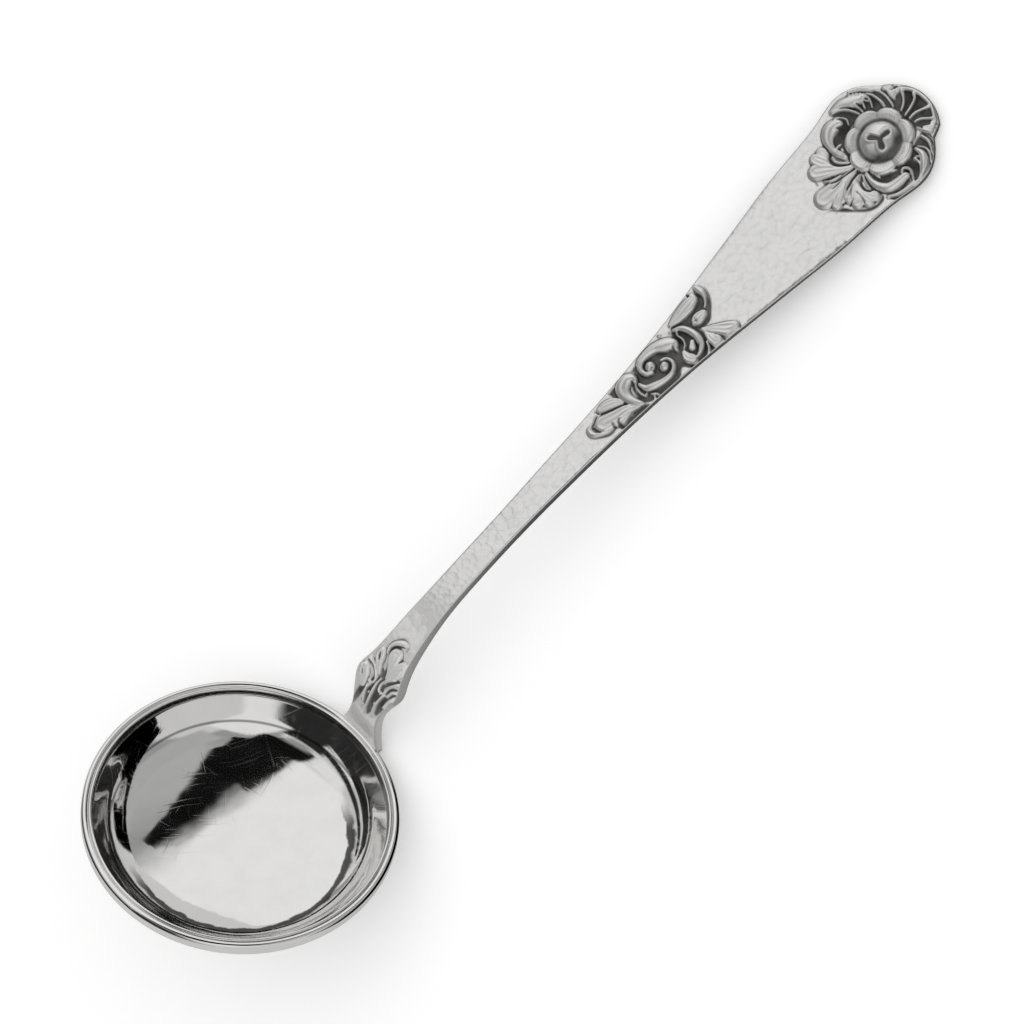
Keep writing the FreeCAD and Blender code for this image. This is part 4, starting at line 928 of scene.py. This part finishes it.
def node(tree, kind, settings=None, **inputs):
    """Add a node, set its properties, and set or link its inputs by name or number."""
    made = tree.nodes.new("ShaderNode" + kind)
    for key, value in (settings or {}).items():
        setattr(made, key, value)
    for key, value in inputs.items():
        socket = made.inputs[int(key[1:]) if key[1:].isdigit() else key.replace("_", " ")]
        if isinstance(value, bpy.types.NodeSocket):
            tree.links.new(value, socket)
        else:
            socket.default_value = value
    return made


def math_node(tree, operation, a, b=0.5, c=0.5):
    """Result of one sum on two or three numbers."""
    return node(tree, "Math", {"operation": operation}, _0=a, _1=b, _2=c).outputs[0]


def smooth_range(tree, value, low, high, to_low=0.0, to_high=1.0):
    """A number eased from one range to another."""
    made = node(tree, "MapRange", {"interpolation_type": "SMOOTHSTEP"}, Value=value, From_Min=low,
                From_Max=high, To_Min=to_low, To_Max=to_high)
    return made.outputs["Result"]


def band(tree, value, rise, fall):
    """A mask that eases in over one stretch of a value and out over the next."""
    return math_node(tree, "MULTIPLY", smooth_range(tree, value, *rise),
                     smooth_range(tree, value, *fall, 1.0, 0.0))


def noise(tree, place, scale, detail):
    """Height of a cloudy pattern."""
    return node(tree, "TexNoise", None, Vector=place, Scale=scale, Detail=detail).outputs[0]


def mixed(tree, factor, a, b):
    """A blend of two colours."""
    made = node(tree, "Mix", {"data_type": "RGBA"}, Factor=factor)
    for label, value in (("A", a), ("B", b)):
        socket = next(s for s in made.inputs if s.name == label and s.type == "RGBA")
        socket.default_value = (*value, 1)
    return next(s for s in made.outputs if s.type == "RGBA")


def chosen(tree, factor, a, b):
    """A blend of two numbers."""
    return node(tree, "Mix", {"data_type": "FLOAT"}, _0=factor, _2=a, _3=b).outputs[0]


# fine scratches: direction in radians, how often they start along and across, and their rarity
SCRATCHES = (
    (0.5, 0.09, 3.6, 0.50), (1.25, 0.16, 3.0, 0.56), (2.0, 0.11, 3.3, 0.53), (2.7, 0.14, 2.8, 0.56),
)


def streaks(tree, place, stretch):
    """Height of a flat cloudy pattern that is drawn out into streaks."""
    drawn = node(tree, "VectorMath", {"operation": "MULTIPLY"}, _0=place, _1=stretch).outputs[0]
    made = node(tree, "TexNoise", {"noise_dimensions": "2D"}, Vector=drawn, Scale=1.0, Detail=1.0)
    return made.outputs[0]


def scratch_group():
    """Fine hairline scratches in several directions, and the haze between them."""
    tree, given, result = group(
        "fine scratches", [("Vector", "Vector", None), ("Amount", "Float", 0.5)],
        [("Height", "Float"), ("Haze", "Float")])
    bend = node(tree, "TexNoise", None, Vector=given["Vector"], Scale=0.12, Detail=1.0)
    bent = node(tree, "VectorMath", {"operation": "MULTIPLY_ADD"}, _0=bend.outputs[1],
                _1=(3, 3, 0), _2=given["Vector"]).outputs[0]
    lines = 0.0
    for turn, length, width, rarity in SCRATCHES:
        turned = node(tree, "Mapping", None, Vector=bent, Rotation=(0, 0, turn)).outputs[0]
        fine = streaks(tree, turned, (length, width, 0))
        rare = streaks(tree, turned, (length * 1.7, width * 0.12, 0))
        line = math_node(tree, "MULTIPLY", smooth_range(tree, fine, 0.63, 0.72),
                         smooth_range(tree, rare, rarity, rarity + 0.08))
        lines = math_node(tree, "MAXIMUM", lines, line)
    tree.links.new(math_node(tree, "MULTIPLY", lines, given["Amount"]), result["Height"])
    cloud = noise(tree, given["Vector"], 0.3, 6.0)
    tree.links.new(smooth_range(tree, cloud, 0.35, 0.7), result["Haze"])
    return tree


def hammer_group():
    """Close shallow hammer marks: small dishes that meet in soft ridges."""
    tree, given, result = group(
        "hammer marks", [("Vector", "Vector", None), ("Size", "Float", 0.8)], [("Height", "Float")])
    scale = math_node(tree, "DIVIDE", 1.0, given["Size"])
    blur = node(tree, "TexNoise", None, Vector=given["Vector"], Scale=1.1, Detail=1.0)
    moved = node(tree, "VectorMath", {"operation": "MULTIPLY_ADD"}, _0=blur.outputs[1],
                 _1=(0.7, 0.7, 0.0), _2=given["Vector"])
    cells = node(tree, "TexVoronoi", {"feature": "SMOOTH_F1", "voronoi_dimensions": "2D"},
                 Vector=moved.outputs[0], Scale=scale, Smoothness=0.35)
    dish = math_node(tree, "MULTIPLY", cells.outputs["Distance"], cells.outputs["Distance"])
    pits = noise(tree, given["Vector"], 5.0, 3.0)
    tree.links.new(math_node(tree, "MULTIPLY_ADD", pits, 0.12, dish), result["Height"])
    return tree


def shader(name):
    """An empty material, with its node tree and its Principled shader."""
    material = bpy.data.materials.new(name)
    material.use_nodes = True
    return material, material.node_tree, material.node_tree.nodes["Principled BSDF"]


def attribute(tree, name, output="Fac"):
    """A value stored on the mesh."""
    return node(tree, "Attribute", {"attribute_name": name}).outputs[output]


def set_surface(tree, bsdf, colour, roughness, height, distance):
    """Feed the shader's colour and roughness, and its normal through a bump."""
    tree.links.new(colour, bsdf.inputs["Base Color"])
    tree.links.new(roughness, bsdf.inputs["Roughness"])
    bsdf.inputs["Metallic"].default_value = 1
    bump = node(tree, "Bump", None, Height=height, Distance=distance)
    tree.links.new(bump.outputs[0], bsdf.inputs["Normal"])


# radii of the bowl's painted dark line round its floor and of the painted dark band in the crease
# on its side, both painted shade, in mm: where each eases in and where it eases out. The line is on
# the side of one direction and wanders, the band is opposite. Then the height of the finish's
# bump, and that of the dents as a multiple of it
FLOOR_LINE = ((13.95, 14.25), (14.8, 15.3))
SIDE_CREASE = ((16.6, 16.75), (16.85, 17.0))
FLOOR_LINE_SIDE = (-0.31, -0.95, 0)
FLOOR_LINE_WANDER = 1.3
SHEET_BUMP = 0.000004
DENTS = 10.0


def painted_dark_lines(tree, place):
    """Painted shade: the ragged dark line on one side of the floor, and the dark band in the crease
    opposite.
    """
    parts = node(tree, "SeparateXYZ", None, Vector=place).outputs
    flat = node(tree, "CombineXYZ", None, X=parts[0], Y=parts[1]).outputs[0]
    radius = node(tree, "VectorMath", {"operation": "LENGTH"}, _0=flat).outputs["Value"]
    wander = noise(tree, place, 0.45, 4.0)
    ragged = math_node(tree, "SUBTRACT", radius, FLOOR_LINE_WANDER / 2)
    ragged = math_node(tree, "MULTIPLY_ADD", wander, FLOOR_LINE_WANDER, ragged)
    towards = node(tree, "VectorMath", {"operation": "DOT_PRODUCT"}, _0=flat, _1=FLOOR_LINE_SIDE)
    part = math_node(tree, "DIVIDE", towards.outputs["Value"], radius)
    part = smooth_range(tree, part, -0.1, 0.3, 0.0, 0.93)
    line = math_node(tree, "MULTIPLY", band(tree, ragged, *FLOOR_LINE), part)
    crease = math_node(tree, "MULTIPLY", band(tree, radius, *SIDE_CREASE),
                       math_node(tree, "SUBTRACT", 0.93, part))
    return math_node(tree, "MAXIMUM", line, math_node(tree, "MULTIPLY", crease, 0.7))


def polished_silver(name, finish, scratches, bowl):
    """Bright silver with scratches and haze, and in the bowl its painted shade and shallow dents."""
    _, tree, bsdf = shader(name)
    place = attribute(tree, "bowl_place", "Vector")
    marks = node(tree, "Group", {"node_tree": scratches}, Vector=place, Amount=finish.scratches)
    height, haze = marks.outputs["Height"], marks.outputs["Haze"]
    roughness = math_node(tree, "MULTIPLY_ADD", haze, 0.03, 0.04)
    roughness = math_node(tree, "MULTIPLY_ADD", height, 0.3, roughness)
    haze_and_painted_shade = math_node(tree, "MULTIPLY", haze, 0.04)
    sheet = math_node(tree, "MULTIPLY", height, -1.0)
    if bowl:
        # painted shade: the bowl's dark line and band are painted into its colour
        haze_and_painted_shade = math_node(tree, "MAXIMUM", haze_and_painted_shade, painted_dark_lines(tree, place))
        sheet = math_node(tree, "MULTIPLY_ADD", noise(tree, place, 0.2, 2.0), DENTS, sheet)
    colour = mixed(tree, haze_and_painted_shade, finish.silver, finish.tarnish_and_shade)
    set_surface(tree, bsdf, colour, roughness, sheet, SHEET_BUMP)


# scales of the handle's grain, film and specks, and how its Metallic grows along it, in mm: the
# lower Metallic lightens the neck, as painted light
GRAIN_SCALE = 2600.0
FILM_SCALE = 420.0
SPECK_SCALE = 1500.0
NECK_LIGHT_FROM_TO = (12.0, 42.0)
NECK_LIGHT_METALLIC = (0.42, 0.84)


def hammered_silver(name, finish, hammer):
    """Satin silver with hammer marks on the face, a side with painted shade, and tarnish in the carving.
    """
    _, tree, bsdf = shader(name)
    place = node(tree, "TexCoord").outputs["Object"]
    face_place = attribute(tree, "face_place", "Vector")
    tarnish_and_shade, carved, side = (attribute(tree, label) for label in ("tarnish_and_shade", "carved", "side"))
    marks = node(tree, "Group", {"node_tree": hammer}, Vector=face_place).outputs["Height"]
    plain = math_node(tree, "SUBTRACT", 1.0, math_node(tree, "MAXIMUM", carved, side))
    height = math_node(tree, "MULTIPLY", math_node(tree, "SUBTRACT", marks, 0.28),
                       math_node(tree, "MULTIPLY_ADD", plain, 0.85, 0.15))
    height = math_node(tree, "MULTIPLY_ADD", noise(tree, place, GRAIN_SCALE, 4.0), 0.12, height)
    # a thin film, painted shade on the side, the ridges between the hammer marks, a few specks,
    # and the tarnish in the carving, which holds the bud's painted shade too
    film = noise(tree, place, FILM_SCALE, 5.0)
    specks = noise(tree, place, SPECK_SCALE, 2.0)
    dark = math_node(tree, "MULTIPLY_ADD", smooth_range(tree, film, 0.4, 0.7), 0.04,
                     math_node(tree, "MULTIPLY", side, 0.35))
    ridge = smooth_range(tree, marks, 0.15, 0.45, 0.0, 0.045)
    dark = math_node(tree, "ADD", dark, math_node(tree, "MULTIPLY", ridge, plain))
    dark = math_node(tree, "MAXIMUM", dark, smooth_range(tree, specks, 0.74, 0.78, 0.0, 0.4))
    deep = math_node(tree, "MULTIPLY", smooth_range(tree, tarnish_and_shade, 0.02, 0.9, 0.0, 0.98),
                     smooth_range(tree, film, 0.3, 0.65, 1.0, 0.86))
    dark = math_node(tree, "MAXIMUM", dark, deep)
    colour = mixed(tree, dark, finish.silver, finish.tarnish_and_shade)
    roughness = math_node(tree, "MULTIPLY_ADD", carved, 0.14, 0.22)
    roughness = math_node(tree, "MULTIPLY_ADD", tarnish_and_shade, 0.2, roughness)
    set_surface(tree, bsdf, colour, roughness, height, finish.hammering)
    # painted light: a lower Metallic near the neck lightens it
    along = node(tree, "SeparateXYZ", None, Vector=face_place).outputs[0]
    neck_light_metallic = smooth_range(tree, along, *NECK_LIGHT_FROM_TO, *NECK_LIGHT_METALLIC)
    tree.links.new(neck_light_metallic, bsdf.inputs["Metallic"])
    bsdf.inputs["Specular IOR Level"].default_value = 0.2


class LADLE_OT_finishes(bpy.types.Operator):
    """Mix the silver finishes"""

    bl_idname = "ladle.finishes"
    bl_label = "Silver finishes"

    def execute(self, context):
        finish = context.scene.ladle_finish
        scratches, hammer = scratch_group(), hammer_group()
        polished_silver("scratched silver", finish, scratches, bowl=True)
        polished_silver("worn silver", finish, scratches, bowl=False)
        hammered_silver("hammered silver", finish, hammer)
        return {"FINISHED"}


# the camera: direction from the ladle (degrees round and up), roll, the point on the table at
# which it aims, and its distance from there
CAMERA_FROM = (-70.7014, 64.5421)
CAMERA_ROLL = -66.4796
CAMERA_AIM = (-0.004138, 0.005211, 0.0)
CAMERA_DISTANCE = 0.73905
CAMERA_LENS = 200
CAMERA_SENSOR = 36

# soft boxes and dark cards of the studio, each later one in front of those before it: brightness,
# direction (degrees round and up), turn, place in its own plane, half sizes, softness of its edge
STUDIO = (
    (0.78, (270, 90), 20.3, (1.0, 3.4), (3.0, 3.0), 0.10),
    (0.60, (95, 50), 0, (0, 0), (0.45, 0.8), 0.4),
    (0.03, (270, 90), 70, (-1.9, 1.65), (3.2, 1.6), 0.06),
    (0.02, (140, 15), 0, (0, 0), (0.7, 0.7), 0.2),
    (0.60, (270, 90), 67, (0.05, 1.9), (2.4, 0.06), 0.06),
    (0.02, (270, 90), 70, (-0.1, 1.0), (1.9, 0.11), 0.08),
    (0.02, (270, 90), 90, (-0.45, 0.0), (0.35, 0.14), 0.08),
    (0.62, (258, 15), 0, (0, 0), (0.95, 0.9), 0.25),
    (0.44, (345, 20), 0, (0, 0), (0.35, 0.5), 0.3),
    (0.86, (40, 20), 0, (0, 0), (0.46, 0.85), 0.26),
    (0.02, (270, 90), 0, (-0.55, -0.05), (0.40, 0.30), 0.08),
    (0.80, (270, 90), 0, (0.12, 0.46), (0.22, 0.22), 0.15),
    (0.80, (270, 90), 80, (-0.45, 0.55), (0.35, 0.06), 0.08),
    (0.01, (270, 90), 13, (3.4, 0.695), (3.4, 0.125), 0.30),
    (0.004, (270, 90), 12.6, (3.6, 0.60), (3.6, 0.15), 0.05),
    (0.004, (270, 90), 4, (0.55, 0.07), (0.55, 0.19), 0.06),
    (0.004, (270, 90), 33, (0.66, -0.10), (0.28, 0.17), 0.05),
    (0.42, (325, 27), 30, (0, 0), (0.25, 0.42), 0.1),
    (0.80, (262, 57), 0, (0, 0), (0.4, 0.3), 0.1),
    (0.30, (270, 90), 0, (-0.02, 0.0), (0.10, 0.14), 0.15),
)
# a dark patch painted on the floor, which only the silver shows, as a painted reflection: a card
# below the bowl's middle
MIRRORED_DARK_PATCH = (0.0, (320, -15), 0, (0, 0), (1.3, 0.33), 0.1)
BOWL_MIDDLE = (-0.0545, 0, 0.012)
# and a dark card that only a second reflection finds
SECOND = (0.02, (316, 25), 0, (0, 0), (0.8, 1.0), 0.2)

# brightness behind the cards, plain light of the room, and the floor's colour and glow
BEHIND_CARDS = 0.32
ROOM_LIGHT = 0.95
FLOOR_COLOUR = (0.9, 0.9, 0.9)
FLOOR_GLOW = 0.2
FLOOR_SIZE = 40


def card_group():
    """A card with soft edges in front of what lies behind it, as seen in a direction."""
    tree, given, result = group("studio card", [
        ("Behind", "Float", 0.0), ("Brightness", "Float", 1.0), ("Direction", "Vector", None),
        ("Facing", "Vector", None), ("Right", "Vector", None), ("Up", "Vector", None),
        ("Right Of", "Float", 0.0), ("Above", "Float", 0.0), ("Half Width", "Float", 1.0),
        ("Half Height", "Float", 1.0), ("Softness", "Float", 0.1)], [("Brightness", "Float")])

    def along(axis):
        return node(tree, "VectorMath", {"operation": "DOT_PRODUCT"}, _0=given["Direction"],
                    _1=given[axis]).outputs["Value"]

    ahead = along("Facing")
    near = math_node(tree, "MAXIMUM", ahead, 0.001)
    mask = math_node(tree, "GREATER_THAN", ahead, 0.02)
    half_soft = math_node(tree, "MULTIPLY", given["Softness"], 0.5)
    for axis, shift, half in (("Right", "Right Of", "Half Width"), ("Up", "Above", "Half Height")):
        at = math_node(tree, "SUBTRACT", math_node(tree, "DIVIDE", along(axis), near), given[shift])
        within = math_node(tree, "SUBTRACT", given[half], math_node(tree, "ABSOLUTE", at))
        edge = smooth_range(tree, within, math_node(tree, "MULTIPLY", half_soft, -1.0), half_soft)
        mask = math_node(tree, "MULTIPLY", mask, edge)
    tree.links.new(chosen(tree, mask, given["Behind"], given["Brightness"]), result["Brightness"])
    return tree


def hung(tree, card, direction, behind, values):
    """Hang one studio card in front of a level and return the level with it."""
    brightness, (around, up), turn, (x, y), (width, height), softness = values
    a, e, t = (math.radians(angle) for angle in (around, up, turn))
    facing = Vector((math.cos(a) * math.cos(e), math.sin(a) * math.cos(e), math.sin(e)))
    side = Vector((-math.sin(a), math.cos(a), 0))
    above = facing.cross(side)
    return node(
        tree, "Group", {"node_tree": card}, Behind=behind, Brightness=brightness,
        Direction=direction, Facing=facing, Right=side * math.cos(t) + above * math.sin(t),
        Up=above * math.cos(t) - side * math.sin(t), Right_Of=x * math.cos(t) + y * math.sin(t),
        Above=y * math.cos(t) - x * math.sin(t), Half_Width=width, Half_Height=height,
        Softness=softness).outputs[0]


def pale_floor(card):
    """Lay the floor, which keeps the ladle's shadow and is painted darker in the silver's reflections."""
    start_clean()
    bpy.ops.mesh.primitive_plane_add(size=FLOOR_SIZE)
    floor = bpy.context.object
    floor.name = "floor"
    material, tree, bsdf = shader("pale floor")
    bsdf.inputs["Roughness"].default_value = 0.9
    bsdf.inputs["Specular IOR Level"].default_value = 0
    bsdf.inputs["Emission Strength"].default_value = FLOOR_GLOW
    path = node(tree, "LightPath").outputs
    mirrored = math_node(tree, "MAXIMUM", path["Is Glossy Ray"], path["Is Transmission Ray"])
    seen = math_node(tree, "MAXIMUM", path["Is Camera Ray"], mirrored)
    place = node(tree, "TexCoord").outputs["Object"]
    away = node(tree, "VectorMath", {"operation": "SUBTRACT"}, _0=place, _1=BOWL_MIDDLE).outputs[0]
    away = node(tree, "VectorMath", {"operation": "NORMALIZE"}, _0=away).outputs[0]
    # painted reflection: in the silver's reflections alone the floor shows the dark patch and is darker
    shown = chosen(tree, mirrored, 1.0, hung(tree, card, away, 1.0, MIRRORED_DARK_PATCH))
    shown = math_node(tree, "MULTIPLY", shown, math_node(tree, "MULTIPLY_ADD", mirrored, -0.4, 1.0))
    tree.links.new(mixed(tree, shown, (0, 0, 0), FLOOR_COLOUR), bsdf.inputs["Base Color"])
    tree.links.new(math_node(tree, "MULTIPLY", seen, shown), bsdf.inputs["Emission Color"])
    floor.data.materials.append(material)


def soft_studio(scene, card):
    """Light the room plainly, and show its cards and soft boxes to the silver alone."""
    world = scene.world or bpy.data.worlds.new("soft studio")
    scene.world = world
    world.use_nodes = True
    tree = world.node_tree
    direction = node(tree, "TexCoord").outputs["Generated"]
    level = BEHIND_CARDS
    for values in STUDIO:
        level = hung(tree, card, direction, level, values)
    path = node(tree, "LightPath").outputs
    again = math_node(tree, "GREATER_THAN", path["Glossy Depth"], 1.5)
    level = chosen(tree, again, level, hung(tree, card, direction, level, SECOND))
    cards = node(tree, "Background", None, Color=level, Strength=1.0)
    room = tree.nodes["Background"]
    room.inputs["Color"].default_value = (1, 1, 1, 1)
    room.inputs["Strength"].default_value = ROOM_LIGHT
    either = node(tree, "MixShader", None, _0=path["Is Glossy Ray"], _1=room.outputs[0],
                  _2=cards.outputs[0])
    tree.links.new(either.outputs[0], tree.nodes["World Output"].inputs["Surface"])


def photo_camera(scene):
    """Stand the camera where the photo was taken from."""
    around, up, roll = (math.radians(angle) for angle in (*CAMERA_FROM, CAMERA_ROLL))
    turn = (Matrix.Rotation(around + math.pi / 2, 4, "Z") @ Matrix.Rotation(math.pi / 2 - up, 4, "X")
            @ Matrix.Rotation(roll, 4, "Z"))
    data = bpy.data.cameras.new("camera")
    data.lens, data.sensor_width = CAMERA_LENS, CAMERA_SENSOR
    data.clip_start, data.clip_end = 0.05, 60
    camera = bpy.data.objects.new("camera", data)
    camera.matrix_world = (Matrix.Translation(CAMERA_AIM) @ turn
                           @ Matrix.Translation((0, 0, CAMERA_DISTANCE)))
    scene.collection.objects.link(camera)
    scene.camera = camera


class LADLE_OT_stage(bpy.types.Operator):
    """Set the pale floor, the soft studio and the camera"""

    bl_idname = "ladle.stage"
    bl_label = "Stage"

    def execute(self, context):
        card = card_group()
        pale_floor(card)
        soft_studio(context.scene, card)
        photo_camera(context.scene)
        context.scene.view_settings.view_transform = "Standard"
        return {"FINISHED"}


class LADLE_PT_panel(bpy.types.Panel):
    """The ladle's sizes, finishes and steps in the sidebar"""

    bl_idname = "LADLE_PT_panel"
    bl_label = "Cream ladle"
    bl_space_type = "VIEW_3D"
    bl_region_type = "UI"
    bl_category = "Ladle"

    def draw(self, context):
        layout = self.layout
        for values in (context.scene.ladle_sizes, context.scene.ladle_finish):
            for name in values.__annotations__:
                layout.prop(values, name)
        for operator in STEPS:
            layout.operator(operator.bl_idname)


STEPS = (LADLE_OT_finishes, LADLE_OT_bowl, LADLE_OT_rim, LADLE_OT_handle, LADLE_OT_stage)
CLASSES = (LadleSizes, LadleFinish) + STEPS + (LADLE_PT_panel,)


def register():
    """Make the ladle's classes and its two groups of values known."""
    for cls in CLASSES:
        bpy.utils.register_class(cls)
    bpy.types.Scene.ladle_sizes = bpy.props.PointerProperty(type=LadleSizes)
    bpy.types.Scene.ladle_finish = bpy.props.PointerProperty(type=LadleFinish)


def unregister():
    """Take the two groups of values and the classes away again."""
    del bpy.types.Scene.ladle_finish
    del bpy.types.Scene.ladle_sizes
    for cls in reversed(CLASSES):
        bpy.utils.unregister_class(cls)


def main():
    """Build, finish and stage the ladle."""
    register()
    bpy.ops.ladle.finishes()
    bpy.ops.ladle.bowl()
    bpy.ops.ladle.rim()
    bpy.ops.ladle.handle()
    bpy.ops.ladle.stage()


if __name__ == "__main__":
    main()
